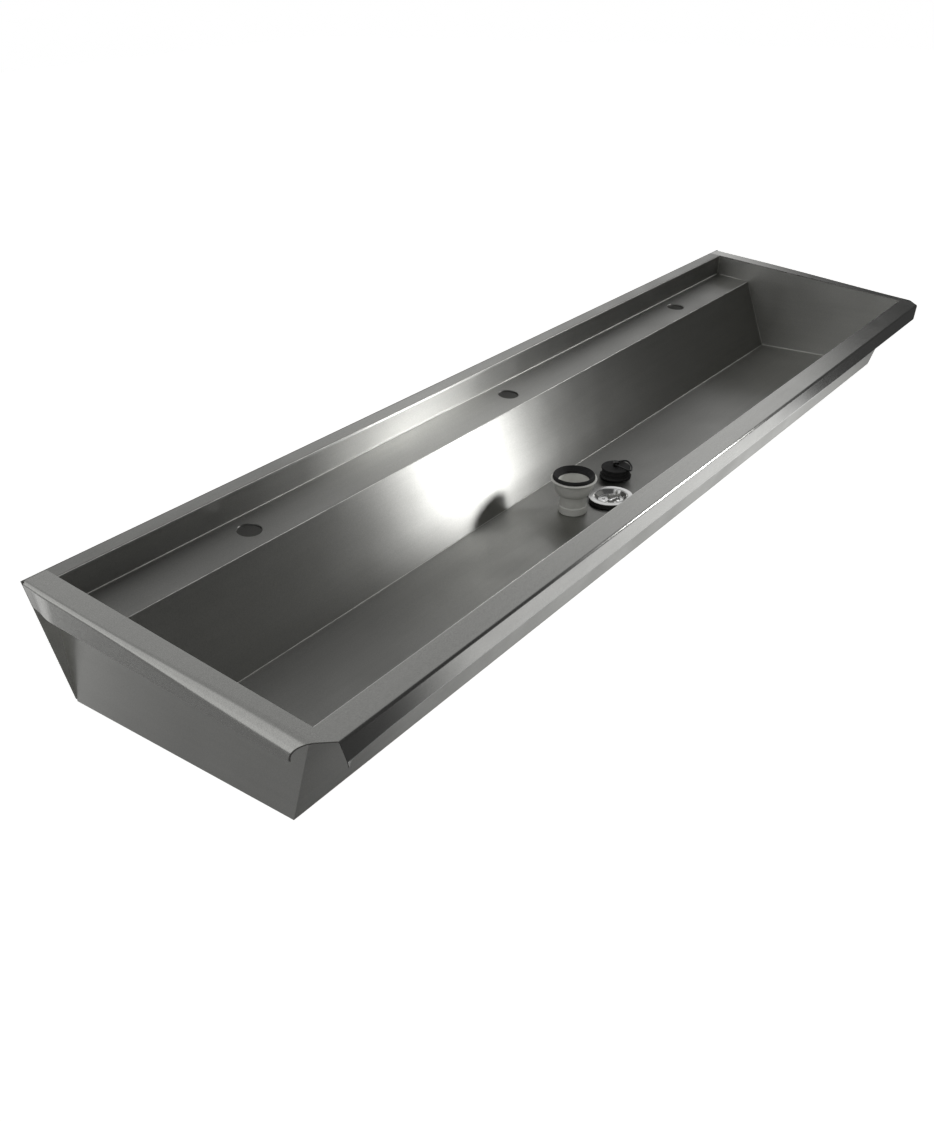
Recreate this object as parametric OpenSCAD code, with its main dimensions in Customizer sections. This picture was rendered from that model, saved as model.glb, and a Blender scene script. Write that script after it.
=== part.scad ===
// Wall-hung trough sink of folded and welded sheet, with its waste kit lying in the bowl.
// +X runs along the trough to the right, +Y towards the wall and +Z up.
// The origin is the middle of the row of wall-fixing holes, on the back face.

/* [Trough] */
// Overall length, end to end
trough_length = 1800; // [1200:50:2400]
// Width of the rim plane from its front bend to the wall, along the slope
rim_span = 468; // [450:2:520]
// Slope of the rims and the tap ledge down to the front, in degrees
rim_fall = 6; // [3:0.5:8]
// Thickness of the folded sheet
sheet_t = 1.5; // [1.2:0.1:2]
// Inside radius of the folds
bend_r = 2; // [1:0.5:3]

/* [Rims] */
// Width of the front rim
front_rim_w = 38; // [32:1:48]
// Height of the upright fascia under the front rim
fascia_h = 33; // [26:1:42]
// Width of the return that stiffens the foot of the fascia
fascia_return_w = 12; // [8:1:16]
// Length over which the return folds open towards the fascia's left end
return_open_l = 76; // [50:2:110]
// How far the fascia's left end is cut back at its foot
fascia_relief = 15; // [8:1:20]
// Width of the rear rim
rear_rim_w = 24; // [20:1:32]
// Width of each end rim
end_rim_w = 34; // [30:1:44]
// Depth of the end rim's side flange at the wall
flange_rear_h = 38; // [32:1:44]
// Depth of the side flange at the front corner
flange_front_h = 23; // [22:1:30]
// Outside radius of the rolled side flange at the wall
roll_rear_r = 6; // [4:1:8]
// Outside radius of the rolled side flange at the front corner
roll_front_r = 20; // [10:1:21]

/* [Bowl] */
// Height of the upstand between the rear rim and the tap ledge
upstand_h = 41; // [34:1:50]
// Width of the tap ledge
ledge_w = 75.5; // [70:0.5:84]
// Drop from the rear rim's top edge to the edges of the bowl floor
floor_drop = 188; // [170:1:220]
// Distance from the wall to the rear crease of the floor
rear_foot = 142; // [130:1:156]
// Width of the floor between its front and rear creases
floor_w = 239.5; // [220:0.5:250]
// Fall of the floor from its edges to the waste outlet
floor_fall = 4; // [2:0.5:8]

/* [Tap holes] */
// Number of tap holes
tap_count = 3; // [2:1:4]
// Distance between tap holes
tap_pitch = 600; // [300:10:600]
// Radius of a tap hole
tap_hole_r = 17.5; // [11:0.5:18]
// How far the tap holes lie behind the middle of the ledge
tap_off_centre = 1.25; // [0:0.25:3]
// Length of the plate that stiffens the ledge round a tap hole
tap_plate_l = 60; // [50:1:90]
// Distance of that plate from the folds in front of it and behind it
tap_plate_margin = 8.75; // [6:0.25:10]
// Thickness of that plate
tap_plate_t = 2; // [1.5:0.5:3]

/* [Back plate] */
// Height from the fixing holes up to the rear rim's top edge
fixing_drop = 90; // [80:1:110]
// Number of wall-fixing holes
fixing_count = 6; // [4:2:8]
// Distance of the outer wall-fixing holes from the ends of the trough
fixing_inset = 100; // [60:5:160]
// Radius of a wall-fixing hole
fixing_hole_r = 4.5; // [3:0.5:6]
// Width of the lip folded forward at the foot of the back plate
back_lip_w = 18; // [12:1:26]
// Distance of each gusset in the tap bay from the middle of the trough
gusset_x = 300; // [200:10:400]
// Height of the gussets' lower edge above the floor's edge
gusset_lift = 30; // [10:1:60]
// Distance of the earth tag from the left end panel
earth_tag_inset = 126; // [60:2:200]
// Width of the earth tag
earth_tag_w = 16; // [14:1:20]
// How far the earth tag stands forward of the lip
earth_tag_l = 16; // [14:1:22]
// Radius of the earth tag's hole
earth_hole_r = 3.2; // [2.5:0.1:4]

/* [Waste outlet] */
// Radius of the round seat pressed into the floor
seat_r = 42; // [41:0.5:50]
// Depth of that seat below the floor
seat_drop = 1; // [0.6:0.1:2]
// Radius of the outlet hole
outlet_r = 27; // [25:0.5:29]
// Length of the outlet's collar below the seat
collar_h = 10; // [6:1:14]
// Gap left between loose pieces and what they rest on
rest_gap = 0.3; // [0.2:0.05:0.4]

/* [Strainer] */
// Radius of the strainer's flange
strainer_flange_r = 36.8; // [35:0.1:37.4]
// Thickness of the strainer's metal
strainer_t = 1.2; // [0.8:0.1:1.5]
// Inside radius of the strainer's cup at its mouth
cup_mouth_r = 26; // [25:0.5:27]
// Inside radius of the cup at its bottom
cup_foot_r = 21; // [20:0.5:23]
// Depth of the cup
cup_depth = 8; // [7:0.5:8]
// Number of round drain holes in the cup
drain_hole_count = 10; // [6:1:12]
// Radius of a drain hole
drain_hole_r = 2.8; // [2:0.1:3]
// Thickness of the rubber ring under the strainer's flange
ring_h = 7; // [7:0.5:9]
// Outside radius of that ring
ring_r = 36.2; // [35:0.1:37]
// Inside radius of that ring
ring_bore_r = 30.3; // [30:0.1:31]
// How far the ring lies off centre to the left
ring_off_x = 1; // [0:0.2:2]
// How far the ring lies off centre to the front
ring_off_y = 0.6; // [0:0.2:1.6]

/* [Centre screw] */
// Radius of the screw's shank
screw_r = 3; // [2.5:0.1:3]
// Length of the shank under the head
screw_l = 20; // [16:1:20]
// Radius of the domed head
screw_head_r = 5; // [4.5:0.1:5.5]
// Height of the domed head
screw_head_h = 3.2; // [3:0.1:4]
// Direction in which the loose screw points, in degrees
screw_turn = 335; // [0:5:355]

/* [Waste tail] */
// Place of the loose tail along the trough
tail_x = -70; // [-110:1:-70]
// Distance of the tail's axis behind the outlet's axis
tail_back = 30.7; // [28:0.1:40]
// Height of the tail up to the top of its flange
tail_h = 60; // [54:1:66]
// Radius of the tail's flange
tail_flange_r = 37.6; // [36:0.1:37.8]
// Thickness of the tail's flange
tail_flange_t = 3.4; // [3:0.1:5]
// Outside radius of the tail's threaded foot
tail_foot_r = 23.5; // [23:0.1:24]
// Height of the threaded foot
tail_foot_h = 12; // [10:1:16]
// Outside radius of the plain shaft
tail_shaft_r = 22; // [21:0.1:22.5]
// Height of the shoulder where the cup-shaped top starts
tail_shoulder_z = 31; // [28:1:34]
// Outside radius of the cup-shaped top under the flange
tail_neck_r = 32.4; // [31:0.1:33]
// Wall thickness of the tail
tail_wall = 2.6; // [2:0.1:3]
// Height of the bridge across the tail that takes the screw
bridge_h = 9; // [7:1:12]
// Radius of the boss in the middle of the bridge
bridge_boss_r = 8; // [7.5:0.5:9]
// Width of the bridge's arms
bridge_arm_w = 4; // [3:0.5:6]
// Outside radius of the threaded insert in the boss
insert_r = 4.8; // [4.5:0.1:5.5]
// Height of the rubber seal above the tail's flange
seal_h = 4.8; // [4:0.2:7]
// Outside radius of the seal
seal_r = 34.4; // [33:0.1:34.8]
// Width of the thin lip round the seal's mouth
seal_lip_w = 1.2; // [1:0.1:2]
// How far the seal reaches down into the tail
seal_reach = 5; // [4:0.5:6]
// Inside radius of the seal at its foot
seal_foot_r = 25.4; // [24.5:0.1:26]

/* [Plug] */
// Place of the loose plug along the trough
plug_x = 83.8; // [76:0.1:120]
// Distance of the plug's axis behind the outlet's axis
plug_back = 40.4; // [36:0.1:46]
// Height of the plug's body
plug_h = 18; // [17:0.5:20]
// Radius of the plug's top disc
plug_disc_r = 25; // [24:0.5:26]
// Thickness of the top disc
plug_disc_t = 3; // [2.5:0.5:4]
// Radius of the plug's lower sealing lip
plug_lip_r = 27; // [26:0.5:28]
// Thickness of that lip
plug_lip_t = 4.5; // [3.5:0.5:5]
// Radius of the plug's waist
plug_waist_r = 22.6; // [22:0.1:23.4]
// Width of the eye's block across the plug
eye_w = 9.2; // [8:0.1:10]
// Thickness of the eye's block along the pin
eye_t = 6.4; // [6:0.1:7]
// Height of the eye's block above the disc
eye_h = 8.6; // [8:0.1:10]
// Height of the pin above the disc
pin_lift = 5; // [4.8:0.1:5.4]
// Radius of the pull ring's pin
pin_r = 1.4; // [1:0.1:1.5]
// Radial clearance of that pin in the eye
pin_gap = 0.3; // [0.2:0.05:0.4]
// Length of the pull ring from its pin to its far edge
pull_l = 29.6; // [28:0.1:32]
// Width of the pull ring at its pin
pull_neck_w = 17; // [16:0.5:19]
// Width of the pull ring between its far corners, before they are rounded
pull_w = 52; // [44:1:56]
// Radius of those corners
pull_corner_r = 8; // [6:0.5:9]
// Width of the pull ring's bar
pull_bar_w = 2.8; // [2.4:0.1:3]
// Thickness of the pull ring's bar
pull_t = 2.6; // [2.2:0.1:2.8]
// Direction in which the pull ring lies, in degrees
pull_turn = -52; // [-90:1:0]

/* [Hidden] */
$fn = 72;

// Overrun of every cut
cut = 1;
// Length of the short legs beyond a fold, where the strips are welded together
fold_leg = 12;
upstand_leg = 6;
fold_steps = 6;
roll_steps = 9;
open_steps = 6;
corner_steps = 6;
// Share by which the return is folded open at the fascia's left end, of lying flat with it
open_share = 0.99;
// Shares of the end rim's run, from the wall to the front corner, at which its section is drawn
rim_section_shares = [0, 0.03, 0.06, 0.1, 0.2, 0.3, 0.4, 0.5, 0.6, 0.7, 0.8, 0.9, 1];
// Share of that run over which the roll stays tight
tight_roll_share = 0.25;
// Share of that run over which the flange swings in to the back plate's slanted edge
flush_share = 0.1;
// Shares of a rubber ring's height, and of its grooves' depth, along its three lips and two grooves
groove_shares = [
    [0, 0.5], [0.1, 0], [0.2, 0], [0.33, 1], [0.46, 0],
    [0.54, 0], [0.67, 1], [0.8, 0], [0.92, 0], [1, 0.5]
];
// Share of the domed head's radius that is left flat at its crown
crown_share = 0.7;
// Share of the pull ring's length at which its far corners lie
pull_corner_share = 0.83;
gusset_corner = 9;
rib_depth = 1.2;
screw_slot_w = 1.2;
screw_slot_h = 1.4;
screw_gap = 0.5;
screw_off = 2;
pull_edge_r = 40;
// How far the pull ring reaches behind its pin
pull_heel = 2.4;
pull_heel_r = 1;
screw_hole_r = screw_r + screw_gap;
drain_ring_r = (cup_foot_r + screw_hole_r) / 2;

inner_x = trough_length / 2 - end_rim_w;
tap_run = rear_rim_w + ledge_w / 2 - tap_off_centre;
fixing_pitch = (trough_length - 2 * fixing_inset) / (fixing_count - 1);
rim_top_z = fixing_drop;
floor_z = rim_top_z - floor_drop;
body_foot_z = floor_z - sheet_t;
front_foot_y = -rear_foot - floor_w;
outlet_y = -rear_foot - floor_w / 2;
apex_z = floor_z - floor_fall;
seat_z = apex_z - seat_drop;
rear_slope = atan(floor_fall / (floor_w / 2));
end_slope = atan(floor_fall / inner_x);

// A point of the sloping rim: its run forward from the wall and its rise above the rim plane
function rim_point(run, rise) = [
    -run * cos(rim_fall) - rise * sin(rim_fall),
    rim_top_z - run * sin(rim_fall) + rise * cos(rim_fall)
];
function toward(a, b) = (b - a) / norm(b - a);
function left_of(d) = [-d[1], d[0]];
function moved(a, b, far) = a + toward(a, b) * far;
// Where the line through a, along d, reaches the height z or the depth y
function at_z(a, d, z) = a + d * (z - a[1]) / d[1];
function at_y(a, d, y) = a + d * (y - a[0]) / d[0];

// The fold at corner b, on the face that lies side below the seen face
function fold_arc(a, b, c, side) =
    let (d1 = toward(a, b), d2 = toward(b, c), n1 = left_of(d1), n2 = left_of(d2))
    let (turn = sign(d1[0] * d2[1] - d1[1] * d2[0]))
    let (radius = turn > 0 ? bend_r : -(bend_r + sheet_t))
    let (centre = b + (n1 + n2) / (1 + n1 * n2) * radius)
    [for (k = [0:fold_steps])
        let (n = n1 + (n2 - n1) * k / fold_steps)
        centre - n / norm(n) * (radius + side)];
function fold_face(path, side) =
    let (last = len(path) - 1)
    concat(
        [path[0] - left_of(toward(path[0], path[1])) * side],
        [for (i = [1:last - 1]) each fold_arc(path[i - 1], path[i], path[i + 1], side)],
        [path[last] - left_of(toward(path[last - 1], path[last])) * side]
    );
// Outline of a folded strip whose seen face follows the path, with the metal on its right
function folded(path) =
    let (far = fold_face(path, sheet_t))
    concat(fold_face(path, 0), [for (i = [len(far) - 1:-1:0]) far[i]]);

// How far forward of the wall a point of the section lies, along the slope, and its rise
function run_of(p) = -p[0] * cos(rim_fall) - (p[1] - rim_top_z) * sin(rim_fall);
function rise_of(p) = (p[1] - rim_top_z) * cos(rim_fall) - p[0] * sin(rim_fall);

// Corners of the trough's section, on the faces that are seen
fascia_foot = rim_point(rim_span, -fascia_h);
rim_front = rim_point(rim_span, 0);
rim_inner = rim_point(rim_span - front_rim_w, 0);
front_foot = [front_foot_y, floor_z];
rear_foot_point = [-rear_foot, floor_z];
ledge_front = rim_point(rear_rim_w + ledge_w, -upstand_h);
upstand_foot = rim_point(rear_rim_w, -upstand_h);
upstand_top = rim_point(rear_rim_w, 0);
rear_rim_end = at_y(upstand_top, [cos(rim_fall), sin(rim_fall)], -sheet_t);
front_joint = moved(rim_inner, front_foot, fold_leg);
rear_joint = moved(ledge_front, rear_foot_point, fold_leg);
upstand_joint = moved(upstand_foot, upstand_top, upstand_leg);
front_slope = toward(rim_inner, front_foot);
rear_slope_line = toward(rear_foot_point, ledge_front);
front_outer = front_joint - left_of(front_slope) * sheet_t;
rear_outer = rear_joint - left_of(rear_slope_line) * sheet_t;

// Turns a section drawn in Y and Z into a bar along X
module along_x(span, middle = 0) {
    translate([middle - span / 2, 0, 0])
        rotate([90, 0, 90])
            linear_extrude(span) children();
}

// Places what is drawn on the rim plane: X along the trough, -Y the run forward, Z the rise
module on_rim() {
    translate([0, 0, rim_top_z]) rotate([rim_fall, 0, 0]) children();
}

module half_space() {
    translate([-trough_length, -trough_length, 0])
        cube([2 * trough_length, 2 * trough_length, trough_length]);
}

// The space above the four facets of the floor, lowered by drop
module above_facets(drop) {
    translate([0, outlet_y, apex_z - drop])
        intersection() {
            rotate([rear_slope, 0, 0]) half_space();
            rotate([-rear_slope, 0, 0]) half_space();
            rotate([0, end_slope, 0]) half_space();
            rotate([0, -end_slope, 0]) half_space();
        }
}

// Stands a loose piece on the rear facet of the floor, square to the facet
module on_rear_facet(x, back) {
    translate([x, outlet_y + back, apex_z + back * tan(rear_slope) + rest_gap])
        rotate([rear_slope, 0, 0]) children();
}

// A solid through rings of as many points each, given from one end to the other
module loft(rings, turned_over) {
    count = len(rings[0]);
    walls = [
        for (k = [0:len(rings) - 2])
            for (i = [0:count - 1]) let (j = (i + 1) % count)
                each [
                    [k * count + i, k * count + j, (k + 1) * count + i],
                    [k * count + j, (k + 1) * count + j, (k + 1) * count + i]
                ]
    ];
    first = [for (i = [count - 1:-1:0]) i];
    last = [for (i = [0:count - 1]) (len(rings) - 1) * count + i];
    faces = concat(walls, [first], [last]);
    polyhedron([for (ring = rings) each ring],
               turned_over ? [for (f = faces) [for (i = [len(f) - 1:-1:0]) f[i]]] : faces);
}

// Outline of the front rim where its return is folded open by a share of lying flat
function front_outline(open) =
    let (back = sqrt(1 - open * open))
    folded([
        rim_point(rim_span - fascia_return_w * back, -fascia_h - fascia_return_w * open),
        fascia_foot, rim_front, rim_inner, front_joint
    ]);
// Where a point of that outline ends at the left: only the fascia's foot is cut back
function end_cut(p) =
    run_of(p) > rim_span - front_rim_w / 2
    ? fascia_relief * max(0, -rise_of(p)) / (fascia_h + fascia_return_w) : 0;

module front_rim() {
    plain = front_outline(0);
    color("#b4b4b2")
        loft(
            concat(
                [[for (p = plain) [inner_x, p[0], p[1]]]],
                [for (k = [0:open_steps]) let (t = k / open_steps)
                    [for (p = front_outline(t * open_share))
                        [return_open_l * (1 - t) - inner_x + end_cut(p) * t, p[0], p[1]]]]
            ),
            true
        );
}

module front_wall() {
    color("#8f8f8d")
        along_x(2 * inner_x)
            polygon([
                front_joint,
                at_z(front_joint, front_slope, body_foot_z),
                at_z(front_outer, front_slope, body_foot_z),
                front_outer
            ]);
}

module bowl_floor() {
    low = body_foot_z - floor_fall - cut;
    high = floor_z + cut;
    color("#7c7c7a")
        difference() {
            intersection() {
                above_facets(sheet_t);
                along_x(2 * inner_x)
                    polygon([
                        at_z(front_joint, front_slope, low),
                        at_z(rear_joint, rear_slope_line, low),
                        at_z(rear_joint, rear_slope_line, high),
                        at_z(front_joint, front_slope, high)
                    ]);
            }
            above_facets(0);
            translate([0, outlet_y, low]) cylinder(h = high - low, r = seat_r);
        }
}

module outlet_pressing() {
    wall_r = seat_r - sheet_t;
    color("#9a9a98")
        difference() {
            translate([0, outlet_y, seat_z])
                rotate_extrude()
                    polygon([
                        [outlet_r, -collar_h], [outlet_r + sheet_t, -collar_h],
                        [outlet_r + sheet_t, -sheet_t], [seat_r, -sheet_t],
                        [seat_r, seat_drop + floor_fall], [wall_r, seat_drop + floor_fall],
                        [wall_r, seat_drop], [wall_r - seat_drop, 0], [outlet_r, 0]
                    ]);
            above_facets(0);
        }
}

module rear_wall() {
    color("#8f8f8d")
        along_x(2 * inner_x)
            polygon([
                at_z(rear_joint, rear_slope_line, body_foot_z),
                rear_joint,
                rear_outer,
                at_z(rear_outer, rear_slope_line, body_foot_z)
            ]);
}

// Repeats along the tap holes
module at_taps() {
    for (k = [0:tap_count - 1])
        translate([(k - (tap_count - 1) / 2) * tap_pitch, 0, 0]) children();
}

module tap_bore() {
    on_rim()
        translate([0, -tap_run, -upstand_h - sheet_t - tap_plate_t - cut])
            cylinder(h = sheet_t + tap_plate_t + 2 * cut, r = tap_hole_r);
}

module tap_ledge() {
    color("#a3a3a1")
        difference() {
            along_x(2 * inner_x)
                polygon(folded([rear_joint, ledge_front, upstand_foot, upstand_joint]));
            at_taps() tap_bore();
        }
}

module rear_upstand() {
    color("#a8a8a6")
        along_x(2 * inner_x)
            polygon(concat(
                fold_face([upstand_joint, upstand_top, rear_rim_end], 0),
                [at_y(upstand_top - left_of([cos(rim_fall), sin(rim_fall)]) * sheet_t,
                      [cos(rim_fall), sin(rim_fall)], -sheet_t)],
                [for (i = [fold_steps:-1:0])
                    fold_arc(upstand_joint, upstand_top, rear_rim_end, sheet_t)[i]],
                [upstand_joint - left_of(toward(upstand_joint, upstand_top)) * sheet_t]
            ));
}

module end_panel(side) {
    under_rim = rim_point(0, -sheet_t);
    rim_line = [cos(rim_fall), sin(rim_fall)];
    // Height on the front wall's outer face where the rim's underside crosses it
    front_top = front_outer + front_slope
        * ((under_rim - front_outer) * left_of(rim_line)) / (front_slope * left_of(rim_line));
    along_x(sheet_t, side * (inner_x + sheet_t / 2))
        polygon([
            front_top,
            at_z(front_outer, front_slope, body_foot_z),
            [-sheet_t, body_foot_z],
            at_y(under_rim, rim_line, -sheet_t)
        ]);
}

module left_end_panel() {
    color("#8a8a88") end_panel(-1);
}

module right_end_panel() {
    color("#8a8a88") end_panel(1);
}

function eased(t) = t * t * (3 - 2 * t);
function roll_share(t) = t < tight_roll_share ? 0 : eased((t - tight_roll_share) / (1 - tight_roll_share));
function roll_r(t) = roll_rear_r + (roll_front_r - roll_rear_r) * roll_share(t);
function flange_h(t) = flange_rear_h + (flange_front_h - flange_rear_h) * t;
// Lean of the back plate's side edges, and of the flange where it meets them
edge_lean = (end_rim_w - sheet_t) / (rim_top_z - body_foot_z);
function flange_lean(t) = edge_lean * (1 - eased(min(1, t / flush_share)));
// Points across the end rim at t of its run: out from the bowl, and rise above the rim plane
function upright_profile(t) = concat(
    [[0, 0]],
    [for (k = [0:roll_steps]) let (a = 90 * k / roll_steps)
        [end_rim_w - roll_r(t) * (1 - sin(a)), -roll_r(t) * (1 - cos(a))]],
    [[end_rim_w, -flange_h(t)], [end_rim_w - sheet_t, -flange_h(t)]],
    [for (k = [roll_steps:-1:0]) let (a = 90 * k / roll_steps, r = roll_r(t) - sheet_t)
        [end_rim_w - sheet_t - r * (1 - sin(a)), -sheet_t - r * (1 - cos(a))]],
    [[0, -sheet_t]]
);
function rim_profile(t) = [
    for (p = upright_profile(t)) [p[0] + p[1] * flange_lean(t) * min(1, p[0] / roll_front_r), p[1]]
];
// Run of the end rim's two ends: at the back plate, and at the front corner cut at 45 degrees
function rear_run(rise) = (sheet_t - rise * sin(rim_fall)) / cos(rim_fall);
function front_run(out) = rim_span - bend_r - sheet_t - out;

module end_rim(side) {
    loft(
        [for (t = rim_section_shares)
            [for (p = rim_profile(t))
                let (q = rim_point(rear_run(p[1]) * (1 - t) + front_run(p[0]) * t, p[1]))
                [side * (inner_x + p[0]), q[0], q[1]]]],
        side < 0
    );
}

module left_end_rim() {
    color("#9e9e9c") end_rim(-1);
}

module right_end_rim() {
    color("#9e9e9c") end_rim(1);
}

module back_plate() {
    color("#868684")
        difference() {
            intersection() {
                union() {
                    along_x(2 * inner_x)
                        polygon(folded([[0, rim_top_z + cut], [0, body_foot_z], [-back_lip_w, body_foot_z]]));
                    translate([-trough_length / 2, -sheet_t, body_foot_z + bend_r + sheet_t])
                        cube([trough_length, sheet_t, floor_drop]);
                }
                rotate([90, 0, 0])
                    linear_extrude(2 * back_lip_w + 2 * cut, center = true)
                        polygon([
                            [-inner_x - sheet_t, body_foot_z], [inner_x + sheet_t, body_foot_z],
                            [trough_length / 2, rim_top_z], [-trough_length / 2, rim_top_z]
                        ]);
            }
            on_rim() half_space();
            for (k = [0:fixing_count - 1])
                translate([(k - (fixing_count - 1) / 2) * fixing_pitch, cut, 0])
                    rotate([90, 0, 0]) cylinder(h = sheet_t + 2 * cut, r = fixing_hole_r);
        }
}

module tap_hole_plates() {
    color("#8c8c8a")
        at_taps()
            difference() {
                on_rim()
                    translate([-tap_plate_l / 2, tap_plate_margin - rear_rim_w - ledge_w,
                               -upstand_h - sheet_t - tap_plate_t])
                        cube([tap_plate_l, ledge_w - 2 * tap_plate_margin, tap_plate_t]);
                tap_bore();
            }
}

module bay_gussets() {
    under_ledge = ledge_front - left_of([cos(rim_fall), sin(rim_fall)]) * sheet_t;
    rim_line = [cos(rim_fall), sin(rim_fall)];
    low = floor_z + gusset_lift;
    // Corner between the rear wall's back and the ledge's underside
    corner = rear_outer + rear_slope_line
        * ((under_ledge - rear_outer) * left_of(rim_line)) / (rear_slope_line * left_of(rim_line));
    color("#7e7e7c")
        for (side = [-1, 1])
            along_x(sheet_t, side * gusset_x)
                polygon([
                    at_z(rear_outer, rear_slope_line, low),
                    [-sheet_t, low],
                    at_y(under_ledge, rim_line, -sheet_t),
                    corner + rim_line * gusset_corner,
                    corner - rear_slope_line * gusset_corner
                ]);
}

module earth_tag() {
    nose_r = earth_tag_w / 2;
    color("#9a9a98")
        translate([earth_tag_inset - inner_x, -back_lip_w, body_foot_z + sheet_t])
            linear_extrude(sheet_t)
                difference() {
                    union() {
                        translate([-nose_r, nose_r - earth_tag_l])
                            square([earth_tag_w, earth_tag_l - nose_r + back_lip_w - 2 * (bend_r + sheet_t)]);
                        translate([0, nose_r - earth_tag_l]) circle(r = nose_r);
                    }
                    translate([0, nose_r - earth_tag_l]) circle(r = earth_hole_r);
                }
}

flange_z = seat_z + 2 * rest_gap + ring_h;
cup_foot_z = flange_z + strainer_t - cup_depth;

module strainer_dish() {
    lip = strainer_t / 2;
    color("#c4c4c2")
        difference() {
            translate([0, outlet_y, 0])
                rotate_extrude()
                    polygon([
                        [0, cup_foot_z], [cup_foot_r + strainer_t, cup_foot_z],
                        [cup_mouth_r + strainer_t, flange_z], [strainer_flange_r, flange_z],
                        [strainer_flange_r, flange_z + lip],
                        [strainer_flange_r - lip, flange_z + strainer_t],
                        [cup_mouth_r + 2 * strainer_t, flange_z + strainer_t],
                        [cup_mouth_r + strainer_t, flange_z + strainer_t + lip],
                        [cup_mouth_r, flange_z + strainer_t],
                        [cup_foot_r, cup_foot_z + strainer_t], [0, cup_foot_z + strainer_t]
                    ]);
            translate([0, outlet_y, cup_foot_z - cut]) {
                cylinder(h = strainer_t + 2 * cut, r = screw_hole_r);
                for (k = [0:drain_hole_count - 1])
                    rotate([0, 0, 360 * k / drain_hole_count])
                        translate([drain_ring_r, 0, 0])
                            cylinder(h = strainer_t + 2 * cut, r = drain_hole_r);
            }
        }
}

// Outside of a rubber ring with two grooves between three lips
function grooved(outer, height) = [for (s = groove_shares) [outer - rib_depth * s[1], height * s[0]]];

module strainer_gasket() {
    color("#161616")
        translate([-ring_off_x, outlet_y - ring_off_y, seat_z + rest_gap])
            rotate_extrude()
                polygon(concat(
                    [[ring_bore_r, 0]], grooved(ring_r, ring_h),
                    [[ring_bore_r + rib_depth, ring_h], [ring_bore_r, ring_h - rib_depth]]
                ));
}

module centre_screw() {
    lean = asin((screw_head_r - screw_r) / screw_l);
    dome = screw_head_h / 2;
    color("#cfcfcd")
        translate([0, outlet_y, cup_foot_z + strainer_t + rest_gap])
            rotate([0, 0, screw_turn])
                translate([-screw_off, 0, screw_head_r])
                    rotate([0, 90 + lean, 0])
                        difference() {
                            union() {
                                cylinder(h = screw_l, r = screw_r);
                                translate([0, 0, -dome]) cylinder(h = dome, r = screw_head_r);
                                translate([0, 0, -2 * dome])
                                    cylinder(h = dome, r1 = screw_head_r * crown_share, r2 = screw_head_r);
                            }
                            translate([-screw_slot_w / 2, -screw_head_r - cut, -screw_head_h - cut])
                                cube([screw_slot_w, 2 * (screw_head_r + cut), screw_slot_h + cut]);
                        }
}

tail_bore_r = tail_shaft_r - tail_wall;
tail_cup_z = tail_shoulder_z + rib_depth;
tail_cup_h = tail_h - tail_flange_t - rib_depth - tail_cup_z;
bridge_z = tail_foot_h;
// Width of the cone on which the seal sits, across and down
seat_cone_w = seal_r - seal_lip_w - seal_foot_r - rib_depth;

module waste_tail() {
    color("#d6d6d2")
        on_rear_facet(tail_x, tail_back) {
            rotate_extrude()
                polygon([
                    [tail_bore_r, 0], [tail_foot_r - rib_depth / 2, 0], [tail_foot_r, rib_depth],
                    [tail_foot_r, tail_foot_h], [tail_shaft_r, tail_foot_h + rib_depth],
                    [tail_shaft_r, tail_shoulder_z],
                    for (k = [0:corner_steps]) let (t = k / corner_steps)
                        [tail_foot_r + (tail_neck_r - tail_foot_r) * sin(90 * t),
                         tail_cup_z + tail_cup_h * (1 - cos(90 * t))],
                    [tail_neck_r, tail_h - tail_flange_t],
                    [tail_flange_r - rib_depth, tail_h - tail_flange_t],
                    [tail_flange_r, tail_h - tail_flange_t + rib_depth],
                    [tail_flange_r, tail_h - rib_depth], [tail_flange_r - rib_depth, tail_h],
                    [seal_foot_r + seat_cone_w, tail_h],
                    [seal_foot_r + rest_gap, tail_h - seal_reach - rest_gap],
                    [tail_bore_r, tail_shoulder_z]
                ]);
            difference() {
                translate([0, 0, bridge_z])
                    union() {
                        cylinder(h = bridge_h, r = bridge_boss_r);
                        for (turn = [0, 90])
                            rotate([0, 0, turn])
                                translate([-tail_bore_r - tail_wall / 2, -bridge_arm_w / 2, 0])
                                    cube([2 * tail_bore_r + tail_wall, bridge_arm_w, bridge_h]);
                    }
                translate([0, 0, bridge_z - cut])
                    cylinder(h = bridge_h + 2 * cut, r = insert_r + rest_gap);
            }
        }
}

module screw_insert() {
    color("#b08d4a")
        on_rear_facet(tail_x, tail_back)
            translate([0, 0, bridge_z])
                difference() {
                    cylinder(h = bridge_h, r = insert_r);
                    translate([0, 0, -cut]) cylinder(h = bridge_h + 2 * cut, r = screw_r);
                }
}

module tail_gasket() {
    color("#161616")
        on_rear_facet(tail_x, tail_back)
            translate([0, 0, tail_h])
                rotate_extrude()
                    polygon(concat(
                        [[seal_foot_r, -seal_reach], [seal_foot_r + seat_cone_w - rest_gap, 0]],
                        grooved(seal_r, seal_h),
                        [[seal_r - seal_lip_w, seal_h]]
                    ));
}

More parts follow.
